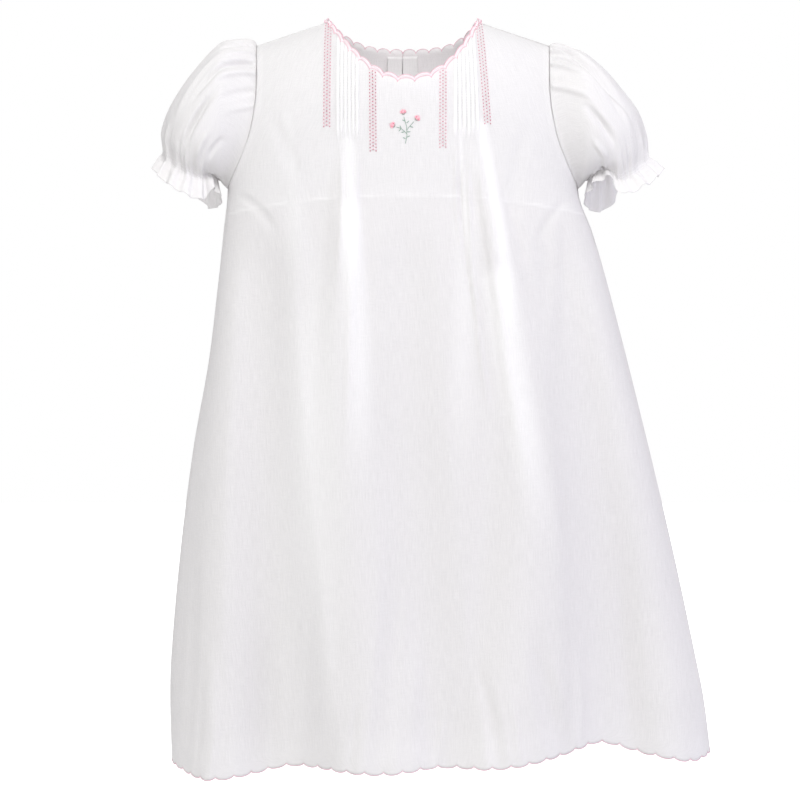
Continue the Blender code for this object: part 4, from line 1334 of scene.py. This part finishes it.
# %% The stitch tree
def stitch_tree():
    """A tree that turns points into threads, and the identifiers of its inputs."""
    tree = bpy.data.node_groups.new("stitches", "GeometryNodeTree")
    kinds = {"Geometry": "Geometry", "Unevenness": "Float", "Seed": "Int", "Thread": "Material"}
    sockets = {}
    for name, kind in kinds.items():
        socket = tree.interface.new_socket(name, in_out="INPUT", socket_type="NodeSocket" + kind)
        sockets[name] = socket.identifier
    tree.interface.new_socket("Geometry", in_out="OUTPUT", socket_type="NodeSocketGeometry")
    given = put(tree, "NodeGroupInput").socket.node
    guide, unevenness, seed, thread = (Value(tree, given.outputs[name]) for name in kinds)
    along, out, size = (
        put(tree, "GeometryNodeInputNamedAttribute", {"data_type": "FLOAT_VECTOR"}, {"Name": name})
        for name in ("along", "out", "size")
    )
    axes = {"primary_axis": "X", "secondary_axis": "Z"}
    turn = put(tree, "FunctionNodeAxesToRotation", axes, {0: along, 1: out})
    uneven = put(tree, "FunctionNodeRandomValue", {"data_type": "FLOAT"},
                 {2: 1 - unevenness, 3: 1 + unevenness, 8: seed}, 1)
    scale = put(tree, "ShaderNodeVectorMath", {"operation": "SCALE"}, {0: size, "Scale": uneven})
    strand = put(tree, "GeometryNodeMeshUVSphere", None, {"Segments": 6, "Rings": 4, "Radius": 0.5})
    placed = put(tree, "GeometryNodeInstanceOnPoints", None,
                 {"Points": guide, "Instance": strand, "Rotation": turn, "Scale": scale})
    real = put(tree, "GeometryNodeRealizeInstances", None, {"Geometry": placed})
    rounded = put(tree, "GeometryNodeSetShadeSmooth", None, {"Geometry": real})
    done = put(tree, "GeometryNodeSetMaterial", None, {"Geometry": rounded, "Material": thread})
    put(tree, "NodeGroupOutput", None, {0: done})
    return tree, sockets


STITCH_TREE, STITCH_INPUTS = stitch_tree()
print("inputs of the stitch tree:", list(STITCH_INPUTS))

# %% [markdown]
# ## Thread
# Embroidery cotton has a soft sheen and a twist. One material serves every colour: the dye comes from the
# stitch itself, as an attribute, and fine noise breaks it up as fibres do.

# %% Dyes and the thread's material
def dye(red, green, blue):
    """A dye as the shader wants it, from the levels of a colour chart."""
    return tuple(((c / 255 + 0.055) / 1.055) ** 2.4 for c in (red, green, blue))


SHELL_PINK = dye(255, 238, 243)
ROSE_PINK = dye(254, 224, 232)
EDGE_PINK = dye(240, 184, 200)
EDGE_PALE = dye(252, 236, 241)
HEM_PINK = dye(238, 200, 212)
PETAL_PINK = dye(250, 190, 202)
DEEP_ROSE = dye(218, 100, 124)
LEAF_GREEN = dye(128, 162, 144)
THREAD_WHITE = dye(250, 249, 249)


def thread_material():
    material, tree = new_material("embroidery_cotton")
    place = put(tree, "ShaderNodeTexCoord", None, None, "Object")
    dyed = put(tree, "ShaderNodeAttribute", {"attribute_name": "dye"}, None, "Color")
    fibres = put(tree, "ShaderNodeTexNoise", None, {"Vector": place, "Scale": 4200.0, "Detail": 2.0})
    shade = put(tree, "ShaderNodeVectorMath", {"operation": "SCALE"}, {0: dyed, "Scale": 0.82})
    colour = mix_colours(tree, fibres, shade, dyed)
    twist = put(tree, "ShaderNodeBump", None, {"Strength": 0.4, "Distance": 0.00006, "Height": fibres})
    cotton = put(tree, "ShaderNodeBsdfPrincipled", None,
                 {"Base Color": colour, "Roughness": 0.55, "Normal": twist, "Sheen Weight": 0.3})
    put(tree, "ShaderNodeOutputMaterial", None, {"Surface": cotton})
    return material


embroidery_cotton = thread_material()
print("thread material:", embroidery_cotton.name)

# %% [markdown]
# ## Rows of stitches
# A running stitch lies along its line and a satin stitch lies across it. Both start from a path on the
# cloth, given as points and the directions out of the cloth at them. A stitch's pitch, length, width and
# height are in millimetres.

# %% Running and satin stitches
Stitches = namedtuple("Stitches", "middles along out sizes dyes")
Stitch = namedtuple("Stitch", "pitch length width height")


def threads(starts, ends, outs, width, height, colour):
    """Stitches from starts to ends."""
    along = ends - starts
    length = np.linalg.norm(along, axis=-1)
    sizes = np.stack((length, np.full_like(length, width), np.full_like(length, height)), -1)
    return Stitches((starts + ends) / 2, along, outs, sizes, np.tile(colour, (len(length), 1)))


def even_places(path, outs, pitch):
    """Places at an even pitch along a path, the way it runs there, and the way out."""
    steps = distances(path)
    count = max(2, round(steps[-1] / pitch))
    at = (np.arange(count) + 0.5) * steps[-1] / count

    def read(values, places):
        return np.stack([np.interp(places, steps, values[:, axis]) for axis in range(3)], -1)

    run = read(path, at + pitch / 4) - read(path, at - pitch / 4)
    run /= np.linalg.norm(run, axis=-1, keepdims=True)
    return read(path, at), run, read(outs, at)


def running(path, outs, stitch, colour):
    middles, run, out = even_places(path, outs, stitch.pitch)
    half = run * stitch.length / 2
    return threads(middles - half, middles + half, out, stitch.width, stitch.height, colour)


def satin(path, outs, stitch, colour):
    middles, run, out = even_places(path, outs, stitch.pitch)
    side = np.cross(out, run)
    half = side / np.linalg.norm(side, axis=-1, keepdims=True) * stitch.length / 2
    return threads(middles - half, middles + half, out, stitch.width, stitch.height, colour)


print("a row of stitches holds:", Stitches._fields)


# %% Turn rows of stitches into a piece
def stitch_piece(name, rows, slot, nodes=(), seed=1, unevenness=0.08):
    """One piece of real threads from rows of stitches."""
    middles, along, out, sizes, dyes = (np.concatenate([getattr(row, field) for row in rows])
                                        for field in Stitches._fields)
    guide = bpy.data.meshes.new(name)
    guide.from_pydata((middles * MM).tolist(), [], [])
    for key, values in (("along", along), ("out", out), ("size", sizes * MM)):
        attribute = guide.attributes.new(key, "FLOAT_VECTOR", "POINT")
        attribute.data.foreach_set("vector", values.astype(np.float32).ravel())
    colours = np.concatenate((dyes, np.ones((len(dyes), 1))), -1).astype(np.float32)
    guide.attributes.new("dye", "FLOAT_COLOR", "POINT").data.foreach_set("color", colours.ravel())
    piece = add_object(name, guide)
    sewing = piece.modifiers.new("sewing", "NODES")
    sewing.node_group = STITCH_TREE
    for key, value in (("Unevenness", unevenness), ("Seed", seed), ("Thread", embroidery_cotton)):
        sewing[STITCH_INPUTS[key]] = value
    settle(piece)
    for key in ("along", "out", "size"):
        piece.data.attributes.remove(piece.data.attributes[key])
    dress(piece, embroidery_cotton, slot, *nodes)
    print(name, "stitches", len(middles), "triangles", triangles(piece))
    return piece


def on_body(x, z, side, lift=0.0):
    """A path on a panel's outside and the directions out of it."""
    x, z = np.broadcast_arrays(np.asarray(x, float), np.asarray(z, float))
    tucks = tuck_height(x, z) if side == FRONT else 0.0
    return body_points(x, z, side, tucks + lift), body_normals(x, z, side)


print("a place for a stitch:", np.round(on_body(0.0, -80.0, FRONT)[0], 1))

# %% [markdown]
# ## Edging of the neck and hem
# The neck's scallops are bound with two lines of pink satin stitch and a pale one between them, and the
# hem's with a single paler line. They follow the same scallops as the cloth, so they can't drift off them.

# %% Sew the edgings
EDGE_LIFT = -0.15
Line = namedtuple("Line", "inset lift stitch colour")
NECK_LINES = (
    Line(0.2, EDGE_LIFT, Stitch(0.42, 0.65, 0.46, 0.7), EDGE_PINK),
    Line(1.35, 0.02, Stitch(0.55, 1.7, 0.6, 0.35), EDGE_PALE),
    Line(2.6, 0.05, Stitch(0.42, 0.5, 0.46, 0.4), EDGE_PINK),
)
HEM_LINES = (Line(0.3, EDGE_LIFT, Stitch(0.5, 0.8, 0.56, 0.75), HEM_PINK),)


def neck_path(panel, inset, lift):
    """A line that follows the scalloped neck of a panel, a little in from its edge."""
    x = neck_span(panel, 1400)[::-panel.side]
    plain = neck_z(x, panel.side)
    slope = np.gradient(plain, x)
    run = np.hypot(1, slope)
    z = plain + neck_lift(x, panel) - inset / run
    return on_body(x + inset * slope / run, z, panel.side, lift)


def hem_path(panel, inset, lift):
    """A line that follows the scalloped hem of a panel."""
    share, by_length = even_shares(panel, 2400)
    x, z = skirt_place(share, hem_z(share, panel.side) - hem_rounds(by_length, panel) + inset)
    return on_body(x, z, panel.side, lift)


def edging(name, path, lines, seed):
    """Satin lines along an edge of all three panels."""
    rows = []
    for panel in PANELS:
        for line in lines:
            rows.append(satin(*path(panel, line.inset, line.lift), line.stitch, line.colour))
    return stitch_piece(name, rows, "trim", seed=seed)


neck_edging = edging("neck_edging", neck_path, NECK_LINES, 3)
hem_edging = edging("hem_edging", hem_path, HEM_LINES, 5)

# %% [markdown]
# ## Openwork trims
# Four narrow strips of pink openwork run down beside the tucks. Close up they are a net of small crosses
# between two corded edges, with darker knots among the crosses. Real threads show the white cloth between
# them, which a painted strip wouldn't do from the side.

# %% Sew the openwork
Openwork = namedtuple("Openwork", "node top_x foot_x foot_z net knot")
OPENWORK = (
    Openwork("trim_outer_left", -50.2, -50.6, -75.5, ROSE_PINK, dye(214, 118, 144)),
    Openwork("trim_inner_left", -20.2, -19.8, -92.0, ROSE_PINK, dye(196, 88, 116)),
    Openwork("trim_inner_right", 26.5, 26.4, -89.5, SHELL_PINK, dye(218, 124, 148)),
    Openwork("trim_outer_right", 51.0, 56.3, -73.5, SHELL_PINK, dye(200, 100, 126)),
)
OPENWORK_BELOW_EDGE = 1.2
CROSS_PITCH = 2.25
CROSS_COLUMNS = (-0.95, 0.95)
KNOT_COLUMNS = (-1.95, 0.0, 1.95)
CORD_PLACES = (-2.25, 2.25)
CORD_STITCH = Stitch(0.75, 0.5, 0.5, 0.4)
CROSS_REACH = 1.0
CROSS_WIDTH = 0.2
CROSS_HEIGHT = 0.24
KNOT_REACH = 0.4
KNOT_WIDTH = 0.95
KNOT_HEIGHT = 0.4
KNOT_RAISE = 0.1
ON_CLOTH = 0.15


def openwork_rows(strip):
    """The cords, crosses and knots of one strip."""
    top = float(neck_z(strip.top_x, FRONT)) - OPENWORK_BELOW_EDGE
    count = round((top - strip.foot_z) / CROSS_PITCH)

    def down(share):
        return strip.top_x + (strip.foot_x - strip.top_x) * share, top + (strip.foot_z - top) * share

    x, z = down((np.arange(count) + 0.5) / count)
    cord_x, cord_z = down(np.linspace(0, 1, 80))
    rows = []
    for offset in CORD_PLACES:
        rows.append(satin(*on_body(cord_x + offset, cord_z, FRONT, ON_CLOTH), CORD_STITCH, SHELL_PINK))
    for offset in CROSS_COLUMNS:
        for lean in (-1, 1):
            starts, out = on_body(x + offset - CROSS_REACH, z - lean * CROSS_REACH, FRONT, ON_CLOTH)
            ends, _ = on_body(x + offset + CROSS_REACH, z + lean * CROSS_REACH, FRONT, ON_CLOTH)
            rows.append(threads(starts, ends, out, CROSS_WIDTH, CROSS_HEIGHT, strip.net))
    aside = np.array((KNOT_REACH, 0.0, 0.0))
    for offset in KNOT_COLUMNS:
        step = CROSS_PITCH / 2 if offset else 0.0
        here, out = on_body(x + offset, z - step, FRONT, ON_CLOTH + KNOT_RAISE)
        rows.append(threads(here - aside, here + aside, out, KNOT_WIDTH, KNOT_HEIGHT, strip.knot))
    return rows


openwork_pieces = []
for seed, strip in enumerate(OPENWORK, 11):
    name = strip.node.replace("trim", "openwork")
    openwork_pieces.append(stitch_piece(name, openwork_rows(strip), "trim", (strip.node,), seed=seed))

# %% [markdown]
# ## A spray of rosebuds
# Three small buds on green stems sit under the neck, a traditional motif of baby embroidery. Each bud is a
# few satin stitches side by side, dark ones over light ones, and each leaf a single stitch. The layout here
# is our own.

# %% Sew the spray
Bud = namedtuple("Bud", "x z lean")
BUDS = (Bud(0.4, -68.0, 100), Bud(-5.2, -75.6, 158), Bud(8.2, -71.6, 46))
STEMS = (
    ((1.6, -87.0), (2.6, -82.0), (2.4, -76.0), (0.6, -69.6)),
    ((2.7, -81.0), (0.6, -78.6), (-1.6, -77.0), (-4.2, -76.2)),
    ((2.6, -78.0), (4.2, -76.0), (5.8, -74.2), (7.2, -72.6)),
)
STEM_STITCH = Stitch(0.9, 1.4, 0.42, 0.3)
Leaf = namedtuple("Leaf", "x z angle")
LEAVES = (
    Leaf(2.4, -83.0, 24), Leaf(2.0, -84.2, 148), Leaf(1.2, -79.2, 196),
    Leaf(-1.0, -77.4, 118), Leaf(-1.2, -77.2, 228), Leaf(4.4, -75.8, -14),
    Leaf(2.1, -73.6, 38), Leaf(2.5, -79.4, 2), Leaf(1.7, -72.4, 156),
)
LEAF_LENGTH = 2.6
LEAF_WIDTH = 0.6
Petal = namedtuple("Petal", "ahead aside length width colour")
PETALS = (
    Petal(0.8, 1.7, 2.2, 1.1, PETAL_PINK),
    Petal(0.8, -1.7, 2.2, 1.1, PETAL_PINK),
    Petal(0.2, 0.9, 3.6, 1.1, PETAL_PINK),
    Petal(0.2, -0.9, 3.6, 1.1, PETAL_PINK),
    Petal(0.0, 0.0, 4.2, 1.1, PETAL_PINK),
    Petal(0.9, 0.95, 2.2, 0.5, DEEP_ROSE),
    Petal(1.9, 0.0, 1.6, 0.5, DEEP_ROSE),
    Petal(0.7, -1.1, 2.0, 0.5, DEEP_ROSE),
)
PETAL_RAISE = 0.08
SEPAL_ANGLES = (-52, 52)
SEPAL_LENGTH = 1.5
SEPAL_WIDTH = 0.42
SEPAL_RAISE = 0.4
SINGLE_FLATNESS = 0.7


def single(x, z, angle, length, width, colour, lift=ON_CLOTH):
    """One stitch that starts at a place on the front and runs at an angle."""
    turn = math.radians(angle)
    starts, out = on_body([x], [z], FRONT, lift)
    ends, _ = on_body([x + length * math.cos(turn)], [z + length * math.sin(turn)], FRONT, lift)
    return threads(starts, ends, out, width, width * SINGLE_FLATNESS, colour)


spray_rows = []
for stem in STEMS:
    fine = np.linspace(0, len(stem) - 1, 40)
    x, z = (np.interp(fine, range(len(stem)), places) for places in zip(*stem))
    spray_rows.append(running(*on_body(x, z, FRONT, ON_CLOTH), STEM_STITCH, LEAF_GREEN))
for leaf in LEAVES:
    spray_rows.append(single(*leaf, LEAF_LENGTH, LEAF_WIDTH, LEAF_GREEN))
for bud in BUDS:
    turn = math.radians(bud.lean)
    for order, petal in enumerate(PETALS):
        x = bud.x + petal.ahead * math.cos(turn) - petal.aside * math.sin(turn)
        z = bud.z + petal.ahead * math.sin(turn) + petal.aside * math.cos(turn)
        lift = ON_CLOTH + PETAL_RAISE * order
        spray_rows.append(single(x, z, bud.lean, petal.length, petal.width, petal.colour, lift))
    for fan in SEPAL_ANGLES:
        sepal = bud.x, bud.z, bud.lean + fan, SEPAL_LENGTH, SEPAL_WIDTH
        spray_rows.append(single(*sepal, LEAF_GREEN, ON_CLOTH + SEPAL_RAISE))
rosebud_spray = stitch_piece("rosebud_spray", spray_rows, "trim", seed=21, unevenness=0.05)

# %% [markdown]
# ## White seams
# White stitches hold the tucks, the sleeve's elastic and the back band, and a fuller cord of them closes
# each side seam and the seam below the back opening. They hardly show from a distance, but they are what a
# hand finds there, so each lies where the real one is sewn.

# %% Sew the tucks and the elastic
TUCK_STITCH = Stitch(1.9, 1.3, 0.22, 0.2)
TUCK_STITCH_LIFT = 0.02
TUCK_SEWN_FROM = 4.5
TUCK_SEWN_TO = 1.0
TUCK_FOOT = 1.12
ELASTIC_STITCH = Stitch(1.5, 1.1, 0.3, 0.3)
ELASTIC_LINES = (-0.22, 0.0, 0.22)
ELASTIC_LIFT = 0.1

white_rows = []
for group in TUCK_GROUPS:
    for i in range(TUCKS_IN_GROUP):
        top = float(neck_z(group.first + i * group.neck_pitch, FRONT)) - TUCK_SEWN_FROM
        z = np.linspace(top, group.release_z + TUCK_SEWN_TO, 60)
        x = group.first + i * tuck_pitch(group, z) - TUCK_FOOT * tuck_pitch(group, z) / PROFILE_PITCH
        white_rows.append(running(*on_body(x, z, FRONT, TUCK_STITCH_LIFT), TUCK_STITCH, THREAD_WHITE))
angle = np.linspace(0, 360, 721)
for side in ("left", "right"):
    for offset in ELASTIC_LINES:
        station = np.full_like(angle, ELASTIC + offset)
        path = sleeve_points(side, station, angle, ELASTIC_LIFT)
        out = sleeve_points(side, station, angle, ELASTIC_LIFT + 1.0) - path
        white_rows.append(running(path, out, ELASTIC_STITCH, THREAD_WHITE))
print("rows of stitches in tucks and cuffs:", len(white_rows))

# %% Sew the back band and close the seams
BAND_STITCH = Stitch(2.2, 1.6, 0.32, 0.3)
BAND_INSET = 1.5
BAND_CROSSING = 9.0
BAND_TOP = PLACKET_CLEAR + PLACKET_THICK
BAND_STITCH_LIFT = BAND_TOP + 0.05
SEAM_STITCH = Stitch(1.2, 2.6, 0.9, 0.5)
SEAM_BELOW_ARM = 1.0
SEAM_ABOVE_HEM = 3.0


def sew_band(x, z):
    white_rows.append(running(*on_body(x, z, BACK, BAND_STITCH_LIFT), BAND_STITCH, THREAD_WHITE))


def close_seam(path, out):
    """The ridge of a closed seam: stitches that overlap into one cord."""
    white_rows.append(running(path, np.broadcast_to(np.array(out), path.shape), SEAM_STITCH, THREAD_WHITE))


sewn_half = PLACKET_WIDTH / 2 - BAND_INSET
band_z = np.linspace(PLACKET_TOP - BAND_INSET, PLACKET_FOOT + BAND_INSET, 200)
for offset in (-sewn_half, sewn_half):
    sew_band(form(band_z)[0] + offset, band_z)
for z in (PLACKET_FOOT + BAND_INSET, PLACKET_FOOT + BAND_CROSSING):
    sew_band(form(z)[0] + np.linspace(-sewn_half, sewn_half, 30), z)
for sign in (-1, 1):
    z = np.linspace(ARMPIT_Z - SEAM_BELOW_ARM, float(hem_z(float(sign), FRONT)) + SEAM_ABOVE_HEM, 300)
    middle, half, _, _ = form(z)
    edges = [body_points(middle + sign * half, z, side) for side in (FRONT, BACK)]
    close_seam((edges[0] + edges[1]) / 2, (sign, 0.0, 0.0))
z = np.linspace(PLACKET_FOOT, float(hem_z(0.0, BACK)) + SEAM_ABOVE_HEM, 250)
close_seam(on_body(form(z)[0], z, BACK)[0], (0.0, 1.0, 0.0))
white_seams = stitch_piece("white_seams", white_rows, "cloth", seed=31)

# %% [markdown]
# ## Buttons
# Three small pearl buttons close the back. A button is turned on a lathe: a dished face, a raised rim and a
# rounded edge. Here the profile is spun, four holes are cut through, and a cross of thread sews it down.

# %% Turn and sew the buttons
BUTTON_HEIGHTS = (-27.0, -82.0, -137.0)
BUTTON_LIFT = 0.45
Turning = namedtuple("Turning", "radius height")
BUTTON_PROFILE = (
    Turning(0.0, 0.05), Turning(3.7, 0.05), Turning(4.3, 0.25), Turning(4.6, 0.75),
    Turning(4.55, 1.25), Turning(4.25, 1.75), Turning(3.75, 1.9), Turning(3.3, 1.78),
    Turning(2.9, 1.5), Turning(2.3, 1.32), Turning(0.0, 1.25),
)
BUTTON_STEPS = 40
HOLE_OFF = 0.85
HOLE_RADIUS = 0.42
HOLE_STEPS = 12
DRILL = (
    Turning(0.0, -1.0), Turning(HOLE_RADIUS, -1.0), Turning(HOLE_RADIUS, 3.0), Turning(0.0, 3.0),
)
THREAD_TOP = 1.35
Strand = namedtuple("Strand", "width height")
BUTTON_THREAD = Strand(0.55, 0.45)


def turned(name, profile, steps):
    """A closed solid turned from a profile."""
    mesh = bmesh.new()
    points = [mesh.verts.new((row.radius, 0.0, row.height)) for row in profile]
    edges = [mesh.edges.new(pair) for pair in zip(points, points[1:])]
    bmesh.ops.spin(mesh, geom=points + edges, axis=(0, 0, 1), cent=(0, 0, 0), angle=2 * math.pi, steps=steps)
    bmesh.ops.remove_doubles(mesh, verts=mesh.verts, dist=1e-4)
    bmesh.ops.recalc_face_normals(mesh, faces=mesh.faces)
    data = bpy.data.meshes.new(name)
    mesh.to_mesh(data)
    mesh.free()
    return add_object(name, data)


def pearl_material():
    material, tree = new_material("pearl_button_shell")
    place = put(tree, "ShaderNodeTexCoord", None, None, "Object")
    bands = put(tree, "ShaderNodeTexNoise", None,
                {"Vector": place, "Scale": 260.0, "Detail": 3.0, "Distortion": 1.2})
    pink_or_green = put(tree, "ShaderNodeTexNoise", None, {"Vector": place, "Scale": 120.0, "Detail": 1.0})
    sheen = mix_colours(tree, pink_or_green, (*dye(244, 236, 232), 1), (*dye(232, 240, 238), 1))
    colour = mix_colours(tree, bands, sheen, (*dye(252, 250, 246), 1))
    ripple = put(tree, "ShaderNodeBump", None, {"Strength": 0.12, "Distance": 0.0001, "Height": bands})
    shell = put(tree, "ShaderNodeBsdfPrincipled", None,
                {"Base Color": colour, "Roughness": bands * 0.15 + 0.14, "Normal": ripple,
                 "Coat Weight": 0.5})
    put(tree, "ShaderNodeOutputMaterial", None, {"Surface": shell})
    return material


def cut_holes(piece):
    """Cuts the four holes of a button that lies flat at the origin."""
    for across in (-HOLE_OFF, HOLE_OFF):
        for along in (-HOLE_OFF, HOLE_OFF):
            drill = turned("drill", DRILL, HOLE_STEPS)
            drill.data.transform(Matrix.Translation((across, along, 0.0)))
            cut = piece.modifiers.new("hole", "BOOLEAN")
            cut.operation = "DIFFERENCE"
            cut.solver = "EXACT"
            cut.object = drill
            settle(piece)
            bpy.data.meshes.remove(drill.data)


pearl_shell = pearl_material()
print("a button's face is", 2 * max(row.radius for row in BUTTON_PROFILE), "mm across")

# %% Seat the buttons on the band
button_rows = []
for number, height in enumerate(BUTTON_HEIGHTS, 1):
    button = turned("pearl_button_" + str(number), BUTTON_PROFILE, BUTTON_STEPS)
    cut_holes(button)
    button.data.shade_smooth()
    middle = float(form(height)[0])
    seat = body_points(middle, height, BACK, BAND_TOP + BUTTON_LIFT)
    out = Vector(body_normals(np.array(middle), np.array(height), BACK))
    turn = out.to_track_quat("Z", "Y").to_matrix()
    place = Matrix.Translation(Vector(seat) * MM) @ turn.to_4x4()
    button.data.transform(place @ Matrix.Scale(MM, 4))
    dress(button, pearl_shell, "button", "button_" + str(number))
    for lean in (-1, 1):
        hole = np.array((HOLE_OFF, lean * HOLE_OFF, 0.0))
        top = np.array((0.0, 0.0, THREAD_TOP))
        ends = np.stack((top - hole, top + hole)) @ np.array(turn).T + np.array(seat)
        button_rows.append(threads(ends[:1], ends[1:], np.array([out]), *BUTTON_THREAD, THREAD_WHITE))
    print(button.name, "triangles", triangles(button))
button_threads = stitch_piece("button_threads", button_rows, "cloth", seed=41)

# %% [markdown]
# ## What the cloth was cut to
# Every sheet states its cut: the width and length of the cloth before it was sewn, and its flat area. The
# areas here come from the made sheets themselves, one layer of each, so they can be checked against the cut.

# %% State the cut of each sheet
Cut = namedtuple("Cut", "piece width length area held goes_with")
ON_FRONT = [rosebud_spray, neck_edging, hem_edging, *openwork_pieces]
CUTS = (
    Cut(cloth_front, 0.43, 0.53, 0.172, "hung", ON_FRONT),
    Cut(cloth_back_left, 0.21, 0.53, 0.084, "hung", ()),
    Cut(cloth_back_right, 0.22, 0.53, 0.083, "hung", ()),
    Cut(cloth_lining, 0.25, 0.135, 0.024, "hung", ()),
    Cut(cloth_sleeve_left, 0.26, 0.12, 0.022, "gathered", ()),
    Cut(cloth_sleeve_right, 0.26, 0.12, 0.022, "gathered", ()),
    Cut(cloth_placket, 0.016, 0.178, 0.00285, "folded", ()),
    Cut(cloth_facing_left, 0.0105, 0.177, 0.00186, "folded", ()),
    Cut(cloth_facing_right, 0.0105, 0.177, 0.00186, "folded", ()),
)


def one_layer(piece):
    """The area of one layer of a closed sheet in square metres."""
    return sum(face.area for face in piece.data.polygons) / 2


for cut in CUTS:
    print(cut.piece.name, "one layer in square metres", round(one_layer(cut.piece), 4), "cut", cut.area)

# %% [markdown]
# ## Floor, light and camera
# The gown is shown in a white studio, so most of its light comes from everywhere at once. A soft lamp above
# and in front shows the folds, one behind keeps the back from looking flat, and one on each side lifts the
# shadows. The camera stands level with the gown's middle. Sizes and places here are in metres.

# %% Floor
FLOOR_REACH = 9.0
FLOOR_Z = -0.68
FLOOR_GLOW = 0.7


def studio_floor():
    mesh = bpy.data.meshes.new("studio_floor")
    corners = [(across * FLOOR_REACH, along * FLOOR_REACH, FLOOR_Z)
               for across, along in ((-1, -1), (1, -1), (1, 1), (-1, 1))]
    mesh.from_pydata(corners, [], [(0, 1, 2, 3)])
    floor = add_object("studio_floor", mesh)
    material, tree = new_material("studio_paint")
    grain = put(tree, "ShaderNodeTexNoise", None, {"Scale": 2.0, "Detail": 2.0})
    colour = mix_colours(tree, grain, (0.93, 0.93, 0.93, 1), (0.96, 0.96, 0.96, 1))
    paint = put(tree, "ShaderNodeBsdfPrincipled", None,
                {"Base Color": colour, "Roughness": 0.9, "Emission Color": (1, 1, 1, 1),
                 "Emission Strength": FLOOR_GLOW})
    put(tree, "ShaderNodeOutputMaterial", None, {"Surface": paint})
    mesh.materials.append(material)
    floor.visible_diffuse = False
    floor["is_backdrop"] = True


studio_floor()
print("floor below the hem in mm:", round(HEM_Z - FLOOR_Z / MM))

# %% Light
Lamp = namedtuple("Lamp", "name place target size power colour", defaults=((1.0, 1.0, 1.0),))
LAMPS = (
    Lamp("key_above", (0.10, -0.95, 0.56), (0.01, 0, -0.30), 0.35, 8.3),
    Lamp("key_behind", (-0.2, 1.1, 0.5), (0.02, 0, -0.2), 0.5, 6.5),
    Lamp("fill_left", (-1.5, -0.9, -0.4), (0, 0, -0.4), 1.0, 3.6),
    Lamp("fill_right", (1.6, -0.8, -0.5), (0, 0, -0.4), 1.0, 7.0, (0.70, 0.66, 1.0)),
)
SURROUND = 0.70


def hang_lamp(lamp):
    light = bpy.data.lights.new(lamp.name, "AREA")
    light.shape = "DISK"
    light.size = lamp.size
    light.energy = lamp.power
    light.color = lamp.colour
    item = add_object(lamp.name, light)
    item.location = lamp.place
    item.rotation_euler = (Vector(lamp.target) - Vector(lamp.place)).to_track_quat("-Z", "Y").to_euler()


def white_surround(strength):
    """A white surround that lights evenly and shows as pure white."""
    world = bpy.data.worlds.new("white_surround")
    bpy.context.scene.world = world
    world.use_nodes = True
    tree = world.node_tree
    tree.nodes.clear()
    seen = put(tree, "ShaderNodeLightPath", None, None, "Is Camera Ray")
    dim = put(tree, "ShaderNodeBackground", None, {"Color": (1, 1, 1, 1), "Strength": strength})
    white = put(tree, "ShaderNodeBackground", None, {"Color": (1, 1, 1, 1), "Strength": 1.0})
    both = put(tree, "ShaderNodeMixShader", None, {0: seen, 1: dim, 2: white})
    put(tree, "ShaderNodeOutputWorld", None, {"Surface": both})


white_surround(SURROUND)
for lamp in LAMPS:
    hang_lamp(lamp)
print("lamps:", [lamp.name for lamp in LAMPS])

# %% Camera
CAMERA_PLACE = (-0.002, -1.8, -0.257)
SENSOR_MM = 36.0
PICTURE_PIXELS = 800
PIXEL_MM = 0.68
camera_data = bpy.data.cameras.new("camera")
camera_data.sensor_width = SENSOR_MM
camera_data.lens = SENSOR_MM * -CAMERA_PLACE[1] / (PICTURE_PIXELS * PIXEL_MM * MM)
camera = add_object("camera", camera_data)
camera.location = CAMERA_PLACE
camera.rotation_euler = (math.radians(90), 0, 0)
bpy.context.scene.camera = camera
bpy.context.scene.view_settings.view_transform = "Standard"
print("lens in mm:", round(camera_data.lens, 1))

# %% Compare the box of what is shown with the solids' box
shown_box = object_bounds()
changes = [abs(a - b) / MM for solid, shown in zip(cad_box, shown_box) for a, b in zip(solid, shown)]
print("largest change of a side in mm:", round(max(changes), 2))
